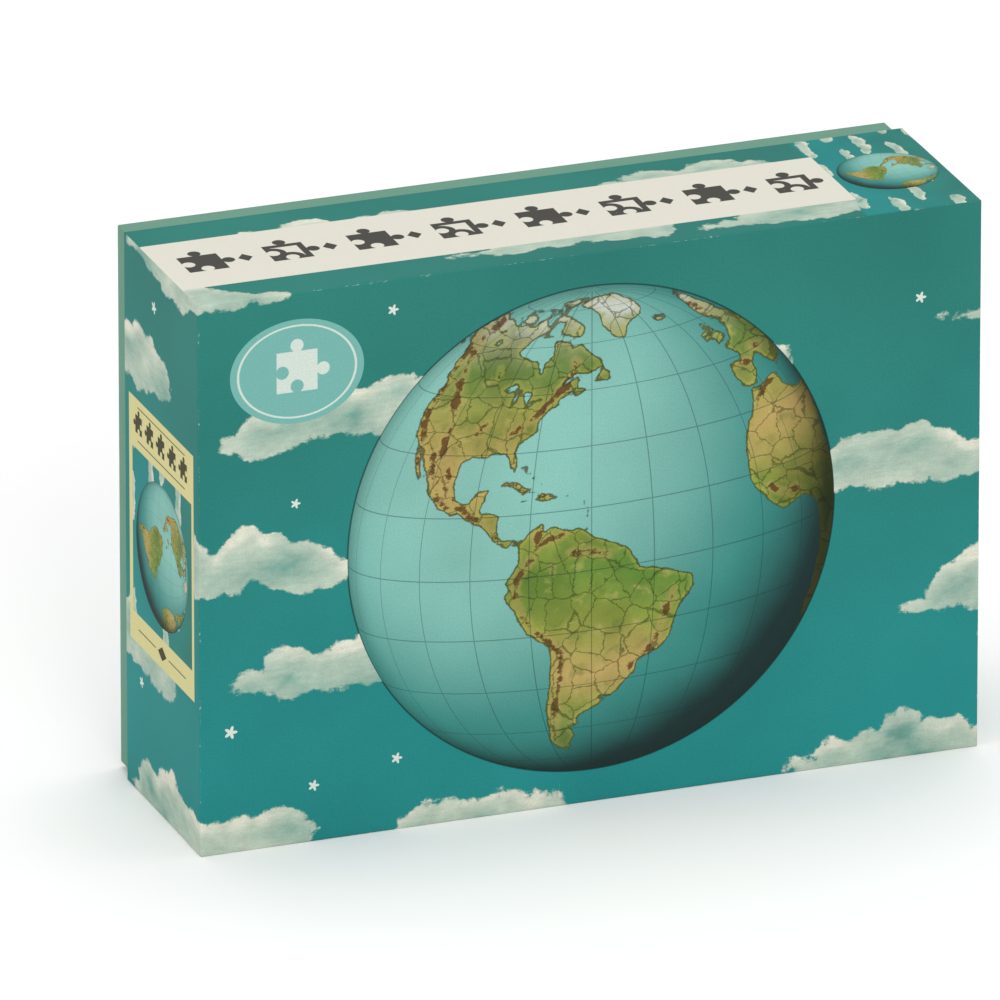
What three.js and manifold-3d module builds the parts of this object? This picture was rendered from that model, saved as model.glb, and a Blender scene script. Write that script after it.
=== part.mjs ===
// A boxed jigsaw puzzle: a rigid set-up box of two telescoping greyboard trays, each wrapped in
// paper over taped corners, holding a folded picture poster and a film bag of loose pieces.
// The box stands on one long side: +X to the right, -Y the lid's picture panel, +Z up.
// Millimetres. The origin is the middle of the footprint, at the surface that the box stands on.

import * as THREE from 'three';
import { mergeVertices } from 'three/addons/utils/BufferGeometryUtils.js';
import Module from 'manifold-3d';

const wasm = await Module();
wasm.setup();

// ---- Driving dimensions -------------------------------------------------------------------

// The closed box
const BOX_WIDTH = 264;
const BOX_HEIGHT = 187;
const LID_DEPTH = 69;
const BASE_SHOWING = 11; // the strip of base that shows behind the lid's rim

// Wall build-up, from outside in: wrap, corner stay (with the glue line), greyboard, turn-in
const WRAP = 0.16;
const STAY = 0.15;
const BOARD = 1.1;
const TURN_IN = 18; // how far the wrap runs down the inside of the walls
const TELESCOPE_GAP = 0.2; // play between the lid and the base on every side
const RIM_GAP = 0.4; // between the base's rim and the inside of the lid's panel
const STAY_LEG = 12; // how far a corner stay covers each of its two walls

// The finished puzzle, from which each piece's size follows
const PUZZLE_WIDTH = 670;
const PUZZLE_HEIGHT = 489;
const COLUMNS = 40;
const ROWS = 25;
const PIECE_THICKNESS = 1.9;
const KERF = 0.15; // what the cutting rule leaves between two joined pieces

// The picture poster, folded once across its width
const POSTER_WIDTH = 345;
const POSTER_LENGTH = 252;
const POSTER_PAPER = 0.15;
const POSTER_FOLD_GAP = 0.5; // between the two leaves at the fold
const POSTER_FLOOR_GAP = 0.6;
const POSTER_LID_GAP = 2.5; // between the front leaf and the inside of the lid's panel

// The film bag and the pile of pieces inside it
const FILM = 0.15;
const BAG_WIDTH = 250;
const BAG_CLEARANCE = 0.3; // to the tray behind and below the bag
const BAG_POSTER_GAP = 3; // to the poster in front of the bag
const BAG_FULL_HEIGHT = 92; // the bag is as deep as the tray up to here
const BAG_SEAL_HEIGHT = 146; // where the front film meets the back film
const BAG_TOP_HEIGHT = 162; // top of the welded header strip
const BAG_CORNER_RADIUS = 9;
const VENT_RADIUS = 2.5;
const VENT_OFFSETS = [-70, 70];
const PILE_HEIGHT = 70; // top of the pieces that are modelled as one heap
const PILE_CLEARANCE = 0.3;

// ---- Derived dimensions -------------------------------------------------------------------

const WALL = WRAP + STAY + BOARD; // wall without the turn-in
const BASE_INSET = WALL + WRAP + TELESCOPE_GAP; // from the lid's outside to the base's outside
const BOX_DEPTH = LID_DEPTH + BASE_SHOWING;
const FRONT = -BOX_DEPTH / 2;
const BACK = BOX_DEPTH / 2;
const LID_PANEL_INSIDE = FRONT + WALL;
const BASE_PANEL_INSIDE = BACK - WALL;
const BASE_RIM = LID_PANEL_INSIDE + RIM_GAP;
const TRAY_FLOOR = BASE_INSET + WALL; // inside of the base wall that is underneath

const CELL_WIDTH = PUZZLE_WIDTH / COLUMNS;
const CELL_HEIGHT = PUZZLE_HEIGHT / ROWS;

// ---- Materials ----------------------------------------------------------------------------

const paint = (color, roughness, options = {}) =>
  new THREE.MeshStandardMaterial({ color, roughness, metalness: 0, ...options });

const MATERIALS = {
  print: paint(0x3b8f88, 0.55),
  baseWrap: paint(0x84b7a1, 0.6),
  greyboard: paint(0xa59d90, 0.95),
  stay: paint(0xe4ddc9, 0.9),
  poster: paint(0x4f9f97, 0.45),
  film: paint(0xf2f6f7, 0.15, { transparent: true, opacity: 0.3 }),
  pile: paint(0x9b9483, 0.85),
  piece: paint(0x5fa79c, 0.5),
};

// ---- Geometry helpers ---------------------------------------------------------------------

// A box between two corners, with every vertex exactly on a corner's coordinate.
function boxBetween(low, high) {
  const geometry = new THREE.BoxGeometry(1, 1, 1);
  const position = geometry.attributes.position;
  for (let i = 0; i < position.count; i += 1) {
    const corner = [position.getX(i), position.getY(i), position.getZ(i)]
      .map((sign, axis) => (sign < 0 ? low[axis] : high[axis]));
    position.setXYZ(i, ...corner);
  }
  return geometry;
}

// A closed geometry as a solid that can be cut and joined.
function solid(geometry) {
  const bare = geometry.clone();
  bare.deleteAttribute('normal');
  bare.deleteAttribute('uv');
  const merged = mergeVertices(bare, 1e-5);
  return new wasm.Manifold(new wasm.Mesh({
    numProp: 3,
    vertProperties: new Float32Array(merged.attributes.position.array),
    triVerts: new Uint32Array(merged.index.array),
  }));
}

// A cut or joined solid as a geometry again.
function geometryOf(body) {
  const mesh = body.getMesh();
  const geometry = new THREE.BufferGeometry();
  geometry.setAttribute('position', new THREE.BufferAttribute(mesh.vertProperties, 3));
  geometry.setIndex(new THREE.BufferAttribute(mesh.triVerts, 1));
  geometry.computeVertexNormals();
  return geometry;
}

function namedMesh(name, geometry, material) {
  const mesh = new THREE.Mesh(geometry, material);
  mesh.name = name;
  return mesh;
}

// An outline in the YZ plane, swept along X between -halfLength and +halfLength.
function sweptAlongX(outline, halfLength) {
  const shape = new THREE.Shape(outline.map(([y, z]) => new THREE.Vector2(y, z)));
  const geometry = new THREE.ExtrudeGeometry(shape, { depth: 2 * halfLength, bevelEnabled: false });
  const toYzPlane = new THREE.Matrix4().makeBasis(
    new THREE.Vector3(0, 1, 0),
    new THREE.Vector3(0, 0, 1),
    new THREE.Vector3(1, 0, 0),
  );
  return geometry.translate(0, 0, -halfLength).applyMatrix4(toYzPlane);
}

// ---- Trays: the lid and the base ----------------------------------------------------------

// A tray's six faces as a box, from its outside pulled in by `inset` on the four walls. The
// panel end and the rim end are given, whichever of them lies further forward.
function trayBox(tray, inset, panelEnd, rimEnd) {
  const low = [-tray.halfWidth + inset, Math.min(panelEnd, rimEnd), tray.bottom + inset];
  const high = [tray.halfWidth - inset, Math.max(panelEnd, rimEnd), tray.top - inset];
  return boxBetween(low, high);
}

// Greyboard: a scored and folded panel with four walls.
function boardGeometry(tray) {
  const { panel, rim, inward } = tray;
  const outside = solid(trayBox(tray, WRAP + STAY, panel + inward * (WRAP + STAY), rim - inward * WRAP));
  const hollow = solid(trayBox(tray, WALL, panel + inward * WALL, rim));
  return geometryOf(outside.subtract(hollow));
}

// Wrap: one sheet over the panel and walls, round the rim and down the inside of the walls.
function wrapGeometry(tray) {
  const { panel, rim, inward } = tray;
  const outside = solid(trayBox(tray, 0, panel, rim));
  const boardSpace = solid(trayBox(tray, WRAP, panel + inward * WRAP, rim - inward * WRAP));
  const mouth = solid(trayBox(tray, WALL + WRAP, panel + inward * WALL, rim + inward * WRAP));
  const skirtEnd = rim - inward * TURN_IN;
  const skirt = solid(trayBox(tray, WALL, skirtEnd, rim - inward * WRAP));
  return geometryOf(outside.subtract(boardSpace).add(skirt).subtract(mouth));
}

// Corner stay: an L of gummed paper that holds two walls together, under the wrap.
function stayGeometry(tray, signX, isTop) {
  const { panel, rim, inward } = tray;
  const start = panel + inward * (WRAP + STAY);
  const end = rim - inward * WRAP;
  const alongY = [Math.min(start, end), Math.max(start, end)];
  const outerX = signX * (tray.halfWidth - WRAP);
  const signZ = isTop ? 1 : -1;
  const outerZ = isTop ? tray.top - WRAP : tray.bottom + WRAP;
  const block = (reachX, reachZ) => {
    const xs = [outerX, outerX - signX * reachX].sort((a, b) => a - b);
    const zs = [outerZ, outerZ - signZ * reachZ].sort((a, b) => a - b);
    return solid(boxBetween([xs[0], alongY[0], zs[0]], [xs[1], alongY[1], zs[1]]));
  };
  return geometryOf(block(STAY_LEG, STAY).add(block(STAY, STAY_LEG)));
}

function makeTray(prefix, tray, wrapMaterial) {
  const group = new THREE.Group();
  group.add(namedMesh(`${prefix}_board`, boardGeometry(tray), MATERIALS.greyboard));
  group.add(namedMesh(`${prefix}_wrap`, wrapGeometry(tray), wrapMaterial));
  let count = 0;
  for (const signX of [-1, 1]) {
    for (const isTop of [false, true]) {
      count += 1;
      const name = `${prefix}_corner_stay_${count}`;
      group.add(namedMesh(name, stayGeometry(tray, signX, isTop), MATERIALS.stay));
    }
  }
  return group;
}

const LID_TRAY = {
  halfWidth: BOX_WIDTH / 2,
  bottom: 0,
  top: BOX_HEIGHT,
  panel: FRONT,
  rim: FRONT + LID_DEPTH,
  inward: 1,
};

const BASE_TRAY = {
  halfWidth: BOX_WIDTH / 2 - BASE_INSET,
  bottom: BASE_INSET,
  top: BOX_HEIGHT - BASE_INSET,
  panel: BACK,
  rim: BASE_RIM,
  inward: -1,
};

// ---- Poster -------------------------------------------------------------------------------

// Two leaves that meet at a fold along the bottom edge. The front leaf swings forward about it.
function makePoster() {
  const group = new THREE.Group();
  const leafHeight = POSTER_WIDTH / 2;
  const bottom = TRAY_FLOOR + POSTER_FLOOR_GAP;
  const frontFace = LID_PANEL_INSIDE + POSTER_LID_GAP;
  const leaf = (name, face) => {
    const low = [-POSTER_LENGTH / 2, face, bottom];
    const high = [POSTER_LENGTH / 2, face + POSTER_PAPER, bottom + leafHeight];
    return namedMesh(name, boxBetween(low, high), MATERIALS.poster);
  };
  group.add(leaf('poster_front_leaf', frontFace));
  group.add(leaf('poster_back_leaf', frontFace + POSTER_PAPER + POSTER_FOLD_GAP));
  return group;
}

const POSTER_BACK_FACE = LID_PANEL_INSIDE + POSTER_LID_GAP + 2 * POSTER_PAPER + POSTER_FOLD_GAP;

// ---- Film bag -----------------------------------------------------------------------------

const BAG_FRONT = POSTER_BACK_FACE + BAG_POSTER_GAP;
const BAG_BACK = BASE_PANEL_INSIDE - BAG_CLEARANCE;
const BAG_BOTTOM = TRAY_FLOOR + BAG_CLEARANCE;

// Points of a quarter circle about (y, z), from one angle to another, in degrees.
function arc(y, z, radius, from, to, steps = 4) {
  const points = [];
  for (let i = 0; i <= steps; i += 1) {
    const angle = THREE.MathUtils.degToRad(from + ((to - from) * i) / steps);
    points.push([y + radius * Math.cos(angle), z + radius * Math.sin(angle)]);
  }
  return points;
}

// The bag's section in YZ, pulled in by `inset`: full at the bottom, closing to a flat header.
function bagSection(inset, top) {
  const front = BAG_FRONT + inset;
  const back = BAG_BACK - inset;
  const bottom = BAG_BOTTOM + inset;
  const radius = BAG_CORNER_RADIUS - inset;
  return [
    ...arc(front + radius, bottom + radius, radius, 180, 270),
    ...arc(back - radius, bottom + radius, radius, 270, 360),
    [back, top],
    [BAG_BACK - 3 * FILM, top],
    [BAG_BACK - 3 * FILM, BAG_SEAL_HEIGHT],
    [front, BAG_FULL_HEIGHT],
  ];
}

function bagFilmGeometry() {
  const outside = solid(sweptAlongX(bagSection(0, BAG_TOP_HEIGHT), BAG_WIDTH / 2));
  const inside = solid(sweptAlongX(bagSection(FILM, BAG_SEAL_HEIGHT), BAG_WIDTH / 2 - FILM));
  let film = outside.subtract(inside);
  const slopeMiddle = [(BAG_FRONT + BAG_BACK) / 2, (BAG_FULL_HEIGHT + BAG_SEAL_HEIGHT) / 2];
  const slope = Math.atan2(BAG_SEAL_HEIGHT - BAG_FULL_HEIGHT, BAG_BACK - BAG_FRONT);
  for (const offset of VENT_OFFSETS) {
    const vent = new THREE.CylinderGeometry(VENT_RADIUS, VENT_RADIUS, 12, 12)
      .rotateX(Math.PI / 2 + slope)
      .translate(offset, ...slopeMiddle);
    film = film.subtract(solid(vent));
  }
  return geometryOf(film);
}

// The pieces that lie in a heap too deep to see, as one closed solid.
function pileGeometry() {
  const inset = FILM + PILE_CLEARANCE;
  const radius = BAG_CORNER_RADIUS - inset;
  const front = BAG_FRONT + inset;
  const back = BAG_BACK - inset;
  const bottom = BAG_BOTTOM + inset;
  const section = [
    ...arc(front + radius, bottom + radius, radius, 180, 270),
    ...arc(back - radius, bottom + radius, radius, 270, 360),
    [back, PILE_HEIGHT],
    [front, PILE_HEIGHT],
  ];
  return sweptAlongX(section, BAG_WIDTH / 2 - inset);
}

// ---- Jigsaw pieces ------------------------------------------------------------------------

const KNOB_RADIUS = 0.13 * CELL_WIDTH;
const KNOB_REACH = 0.175 * CELL_WIDTH; // from the cell's edge to the knob's centre
const NECK_HALF_WIDTH = 0.07 * CELL_WIDTH;
const NECK_REACH = 0.05 * CELL_WIDTH;
const SHOULDER_HALF_WIDTH = 0.15 * CELL_WIDTH;
const SHOULDER_DIP = 0.015 * CELL_WIDTH;
const KNOB_START = 215; // degrees round the knob where it leaves the neck
const KNOB_END = -35;
const KNOB_STEPS = 5;

// A repeatable number from 0 to 1 for each seed.
function scatter(seed) {
  const value = Math.sin(seed * 12.9898) * 43758.5453;
  return value - Math.floor(value);
}

// The cut between two corners of the grid. The knob points to the left of the way from start
// to end when `side` is 1, to the right when it is -1, and there is no knob when it is 0.
function cutLine(start, end, side) {
  if (side === 0) {
    return [start];
  }
  const along = end.clone().sub(start).normalize();
  const across = new THREE.Vector2(-along.y, along.x).multiplyScalar(side);
  const middle = start.clone().lerp(end, 0.5);
  const place = (s, h) => middle.clone().addScaledVector(along, s).addScaledVector(across, h);
  const points = [start, place(-SHOULDER_HALF_WIDTH, -SHOULDER_DIP), place(-NECK_HALF_WIDTH, NECK_REACH)];
  for (let i = 0; i <= KNOB_STEPS; i += 1) {
    const angle = THREE.MathUtils.degToRad(KNOB_START + ((KNOB_END - KNOB_START) * i) / KNOB_STEPS);
    points.push(place(KNOB_RADIUS * Math.cos(angle), KNOB_REACH + KNOB_RADIUS * Math.sin(angle)));
  }
  points.push(place(NECK_HALF_WIDTH, NECK_REACH), place(SHOULDER_HALF_WIDTH, -SHOULDER_DIP));
  return points;
}

// Which way the knob points on a cut: up or right for 1, down or left for -1.
function knobSide(column, row, isUpright) {
  return scatter(column * 7 + row * 13 + (isUpright ? 101 : 0)) < 0.5 ? -1 : 1;
}

// The outline of the piece in a column and row, counter-clockwise about its cell's centre, and
// pulled in by half the kerf. Row 0 is the bottom row, and the puzzle's outer edge is straight.
function pieceOutline(column, row) {
  const corner = (x, y) => new THREE.Vector2(x * CELL_WIDTH / 2, y * CELL_HEIGHT / 2);
  const below = row === 0 ? 0 : knobSide(column, row, false);
  const above = row === ROWS - 1 ? 0 : knobSide(column, row + 1, false);
  const left = column === 0 ? 0 : knobSide(column, row, true);
  const right = column === COLUMNS - 1 ? 0 : knobSide(column + 1, row, true);
  const outline = [
    ...cutLine(corner(-1, -1), corner(1, -1), below),
    ...cutLine(corner(1, -1), corner(1, 1), -right),
    ...cutLine(corner(1, 1), corner(-1, 1), -above),
    ...cutLine(corner(-1, 1), corner(-1, -1), left),
  ];
  return outline.map((point, i) => {
    const before = outline[(i + outline.length - 1) % outline.length];
    const after = outline[(i + 1) % outline.length];
    const tangent = after.clone().sub(before).normalize();
    return new THREE.Vector2(point.x - tangent.y * KERF / 2, point.y + tangent.x * KERF / 2);
  });
}

function pieceGeometry(column, row) {
  const shape = new THREE.Shape(pieceOutline(column, row));
  return new THREE.ExtrudeGeometry(shape, { depth: PIECE_THICKNESS, bevelEnabled: false });
}

// A few pieces that come out of the bag still joined, lying face up on the pile.
const CLUMP_COLUMN = 17;
const CLUMP_ROW = 11;
const CLUMP_COLUMNS = 3;
const CLUMP_ROWS = 2;
const CLUMP_TILT = 4;
const CLUMP_TURN = 8;

// Loose pieces on the pile, in layers of spaced places with a turn and a small tilt each.
const LAYER_COLUMNS = 8;
const LAYER_ROWS = 2;
const LAYER_RISE = 6.6;
const FIRST_LAYER_HEIGHT = PILE_HEIGHT + 3.2;
const PLACE_SPACING = [30.8, 32];
const MAX_TILT = 7;
const CLUMP_PLACES = [3, 4]; // columns of the second layer that the clump takes up
const THIRD_LAYER_PLACES = [0, 2, 5, 6];
const MIDDLE_Y = (BAG_FRONT + BAG_BACK) / 2;

function makeClump() {
  const clump = new THREE.Group();
  let count = 0;
  for (let row = 0; row < CLUMP_ROWS; row += 1) {
    for (let column = 0; column < CLUMP_COLUMNS; column += 1) {
      count += 1;
      const geometry = pieceGeometry(CLUMP_COLUMN + column, CLUMP_ROW + row);
      const piece = namedMesh(`piece_joined_${count}`, geometry, MATERIALS.piece);
      piece.position.x = (column - (CLUMP_COLUMNS - 1) / 2) * CELL_WIDTH;
      piece.position.y = (row - (CLUMP_ROWS - 1) / 2) * CELL_HEIGHT;
      clump.add(piece);
    }
  }
  clump.position.set(0, MIDDLE_Y, FIRST_LAYER_HEIGHT + LAYER_RISE);
  clump.rotation.set(0, THREE.MathUtils.degToRad(CLUMP_TILT), THREE.MathUtils.degToRad(CLUMP_TURN));
  return clump;
}

function loosePlaces() {
  const places = [];
  for (let layer = 0; layer < 3; layer += 1) {
    for (let row = 0; row < LAYER_ROWS; row += 1) {
      for (let column = 0; column < LAYER_COLUMNS; column += 1) {
        const underClump = layer > 0 && CLUMP_PLACES.includes(column);
        const isEmpty = layer === 2 && !THIRD_LAYER_PLACES.includes(column);
        if (!underClump && !isEmpty) {
          places.push(new THREE.Vector3(
            (column - (LAYER_COLUMNS - 1) / 2) * PLACE_SPACING[0],
            MIDDLE_Y + (row - (LAYER_ROWS - 1) / 2) * PLACE_SPACING[1],
            FIRST_LAYER_HEIGHT + layer * LAYER_RISE,
          ));
        }
      }
    }
  }
  return places;
}

function makeLoosePieces() {
  const group = new THREE.Group();
  loosePlaces().forEach((place, index) => {
    const column = Math.floor(scatter(index + 1) * COLUMNS);
    const row = Math.floor(scatter(index + 51) * ROWS);
    const name = `piece_loose_${String(index + 1).padStart(2, '0')}`;
    const piece = namedMesh(name, pieceGeometry(column, row), MATERIALS.piece);
    const tilt = (seed) => THREE.MathUtils.degToRad((2 * scatter(index + seed) - 1) * MAX_TILT);
    piece.position.copy(place);
    piece.rotation.set(tilt(151), tilt(201), scatter(index + 101) * 2 * Math.PI);
    group.add(piece);
  });
  return group;
}

// ---- The whole object ---------------------------------------------------------------------

const puzzleBox = new THREE.Group();
puzzleBox.add(makeTray('lid', LID_TRAY, MATERIALS.print));
puzzleBox.add(makeTray('base', BASE_TRAY, MATERIALS.baseWrap));
puzzleBox.add(makePoster());
puzzleBox.add(namedMesh('bag_film', bagFilmGeometry(), MATERIALS.film));
puzzleBox.add(namedMesh('piece_pile', pileGeometry(), MATERIALS.pile));
puzzleBox.add(makeClump());
puzzleBox.add(makeLoosePieces());

export default puzzleBox;
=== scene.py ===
import math

import bmesh
import bpy
import numpy as np
from mathutils import Euler, Matrix, Vector


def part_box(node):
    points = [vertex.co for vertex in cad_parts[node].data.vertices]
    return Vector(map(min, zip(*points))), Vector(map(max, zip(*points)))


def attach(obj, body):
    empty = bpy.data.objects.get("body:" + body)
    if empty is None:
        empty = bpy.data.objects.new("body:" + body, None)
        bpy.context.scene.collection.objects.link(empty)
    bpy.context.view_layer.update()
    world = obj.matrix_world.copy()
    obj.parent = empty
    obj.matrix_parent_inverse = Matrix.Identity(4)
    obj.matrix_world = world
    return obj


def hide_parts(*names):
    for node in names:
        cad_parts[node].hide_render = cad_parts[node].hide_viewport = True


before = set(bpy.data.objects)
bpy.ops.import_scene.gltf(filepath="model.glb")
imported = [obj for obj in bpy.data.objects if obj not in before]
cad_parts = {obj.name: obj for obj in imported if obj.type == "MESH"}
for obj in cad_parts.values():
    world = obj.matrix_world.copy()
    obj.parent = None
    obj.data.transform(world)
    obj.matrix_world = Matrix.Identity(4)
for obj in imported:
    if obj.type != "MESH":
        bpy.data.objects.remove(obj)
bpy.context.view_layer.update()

MM = 0.001

# ---- Sizes, in millimetres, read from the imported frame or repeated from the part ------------


def node_box(name):
    """A CAD node's lowest and highest corner, in millimetres."""
    low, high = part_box(name)
    return np.array(low) / MM, np.array(high) / MM


LID_LOW, LID_HIGH = node_box("lid_wrap")
BASE_LOW, BASE_HIGH = node_box("base_wrap")

PANEL_WIDTH = LID_HIGH[0] - LID_LOW[0]
PANEL_HEIGHT = LID_HIGH[2] - LID_LOW[2]
LID_DEPTH = LID_HIGH[1] - LID_LOW[1]
WRAP = 0.16  # thickness of the wrapping paper
BOARD_AND_STAY = 1.25  # thickness of a wall's board with a stay on it
TURN_IN = 18.0  # how far the wrap runs back inside the walls
PRINT_GRID, PLAIN_GRID = 1.3, 4.0  # spacing of the vertices of the lid's and the base's wrap

FAR, TINY = 1e6, 1e-9  # a distance past everything, and a divisor in place of nothing

# ---- Colour ---------------------------------------------------------------------------------


STUDIO_LIGHT = 1.3  # how much brighter a lit white surface is than screen white


def linear(colour):
    """A colour as it looks in the studio's light, given as 0-255 screen values, as reflectance."""
    screen = np.asarray(colour, float) / 255
    light = np.where(screen <= 0.04045, screen / 12.92, ((screen + 0.055) / 1.055) ** 2.4)
    return light / STUDIO_LIGHT


def rgba(colour):
    return (*linear(colour), 1.0)


# ---- Noise on arrays ------------------------------------------------------------------------


def lattice(i, j, seed):
    """A repeatable number from 0 to 1 at each whole point (i, j)."""
    value = np.sin(i * 127.1 + j * 311.7 + seed * 74.7) * 43758.5453
    return value - np.floor(value)


def soft_noise(x, y, seed):
    i, j = np.floor(x), np.floor(y)
    u, v = x - i, y - j
    u, v = u * u * (3 - 2 * u), v * v * (3 - 2 * v)
    low = lattice(i, j, seed) * (1 - u) + lattice(i + 1, j, seed) * u
    high = lattice(i, j + 1, seed) * (1 - u) + lattice(i + 1, j + 1, seed) * u
    return low * (1 - v) + high * v


def layered_noise(x, y, size, seed, octaves=4):
    """Noise from -1 to 1 whose largest patches are `size` millimetres across."""
    total, weight = 0, 0
    for octave in range(octaves):
        step, share = size / 2**octave, 0.5**octave
        total = total + share * soft_noise(x / step + 17.3 * octave, y / step, seed + octave)
        weight += share
    return 2 * total / weight - 1


def ease(value, start, end):
    """0 before start, 1 after end, and smooth in between."""
    t = np.clip((value - start) / (end - start), 0, 1)
    return t * t * (3 - 2 * t)


# ---- The picture: a plain globe in a cloudy sky, all of it made by rule ----------------------
# The picture's x runs from 0 to 264 and its z from 0 to 187, in millimetres on the front panel.

GLOBE_CENTRE = (PANEL_WIDTH / 2, PANEL_HEIGHT / 2)
GLOBE_RADIUS = 0.44 * PANEL_HEIGHT
VIEW_LATITUDE = math.radians(10)
VIEW_LONGITUDE = -60.0
HIDDEN_REACH = 1.02  # where outlines on the far side are drawn, as a share of the globe's radius

# Outlines as (latitude, longitude) in degrees, from general geography.
NORTH_AMERICA = [
    (68.5, -166), (71.3, -156.5), (70.1, -145), (69.6, -137), (70.2, -128), (68, -115),
    (68.2, -100), (71.8, -95), (68, -88), (69.5, -84.5), (68.5, -81.5), (66, -86.5), (62.5, -92),
    (58.8, -94.5), (57, -92), (55.5, -85), (55.2, -82.3), (51.3, -80), (51.5, -78.8),
    (54.5, -79.5), (56.5, -76.6), (60, -78), (62.4, -78), (61.2, -70), (58.6, -69), (60.3, -64.6),
    (57.5, -61.8), (53.5, -56), (52, -55.6), (50.2, -60), (50.2, -66.3), (47, -70.8), (49.2, -64.5),
    (46, -64.5), (45.5, -61), (43.6, -65.7), (45.2, -66.5), (43.2, -70.6), (42, -70), (40.6, -73.8),
    (37, -76), (35.2, -75.6), (33.8, -78), (32, -81), (30.2, -81.4), (27, -80.1), (25.2, -80.5),
    (26.2, -81.8), (28.4, -82.8), (30, -84), (30.3, -88), (29.2, -89.3), (29.6, -94.6),
    (27.8, -97.3), (22.2, -97.8), (19.2, -96.2), (18.3, -94.4), (18.6, -92), (21.2, -90.2),
    (21.4, -87), (18.5, -88), (16, -88.8), (15.8, -85), (15, -83.2), (11.5, -83.7), (9.2, -82),
    (9.4, -79.7), (8.7, -77.5), (7.3, -78), (8.6, -79.5), (7.4, -80.5), (8.4, -83.2), (11, -85.8),
    (13, -87.8), (14, -91.5), (16.2, -94.8), (15.8, -97), (17.4, -101.5), (20.4, -105.5),
    (25.5, -109), (28.3, -111.4), (31.5, -113.6), (31.4, -114.8), (27, -112), (23, -109.7),
    (24.6, -112), (27.8, -114.8), (32.5, -117.2), (34.4, -120.4), (37.5, -122.4), (40.4, -124.4),
    (46.2, -124), (48.8, -123.3), (51, -127.5), (54, -130.3), (57.5, -134), (59.7, -140),
    (60.3, -146), (61.1, -150), (58, -155), (54.9, -163), (58.8, -158), (58.9, -162), (62, -166),
    (64.5, -161), (65.5, -167.8), (67.2, -163.5),
]
SOUTH_AMERICA = [
    (12.4, -71.7), (11, -74.8), (8.7, -76.9), (7, -77.8), (3.8, -77.3), (-1, -80.8), (-2.6, -79.9),
    (-4.6, -81.3), (-8, -79), (-14, -76.2), (-18.4, -70.3), (-30, -71.6), (-37, -73.5),
    (-42, -74), (-50, -75), (-53.5, -73), (-55.5, -68), (-52.5, -68.8), (-47.5, -66), (-45, -67.3),
    (-42.5, -64), (-41, -65), (-39, -61.5), (-36.2, -56.8), (-34.3, -58.3), (-34.8, -54.5),
    (-32, -52), (-28.5, -48.8), (-25, -48), (-23, -42.5), (-20, -40.2), (-13, -38.6), (-8, -34.9),
    (-5.2, -35.3), (-2.8, -41), (-1.2, -46), (-1, -48.3), (1.8, -50), (4.2, -51.5), (6, -55),
    (8.3, -60), (10.6, -62.2), (10.2, -65.5), (11.6, -69.6), (10.5, -71.4),
]
GREENLAND = [
    (60, -44), (61, -48.5), (64, -51.5), (67, -53.8), (70, -54.5), (73, -56), (76, -66),
    (78, -72), (80, -67), (81.5, -60), (83.3, -38), (82.3, -22), (80.5, -16), (77, -18),
    (74, -20), (71, -22), (69, -25.5), (67, -33), (65.5, -39), (62.5, -42.5),
]
AFRICA = [
    (35.8, -5.9), (33.5, -7.7), (30, -9.7), (27.9, -12.9), (24, -15.8), (20.8, -17), (14.7, -17.5),
    (12, -16.8), (7, -11.4), (4.4, -7.6), (5.2, -3), (6.3, 2), (4.3, 6.2), (2, 9.8), (-8.8, 13.2),
    (-17, 12), (-29, 17), (-34, 19), (-20, 40), (0, 50), (30, 40), (30.5, 19), (33, 11),
    (37, 10.5), (36.9, 5), (35.2, -2.5),
]
EUROPE = [
    (43.5, -1.8), (43.6, -8), (42.8, -9.2), (38.7, -9.4), (37, -8.9), (36, -5.6), (36.7, -2.1),
    (38.7, 0.2), (42.4, 3.2), (44.2, 8.5), (38, 16), (40, 25), (46, 45), (70, 50), (68, 40),
    (71, 26), (68, 14.5), (62, 5.2), (58, 7.5), (59, 11), (55.5, 14), (57.5, 9.8), (53.6, 8.4),
    (51.5, 3.5), (49.5, 0.3), (49.7, -1.7), (48.6, -4.6), (47.2, -2), (46.2, -1.3),
]
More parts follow.
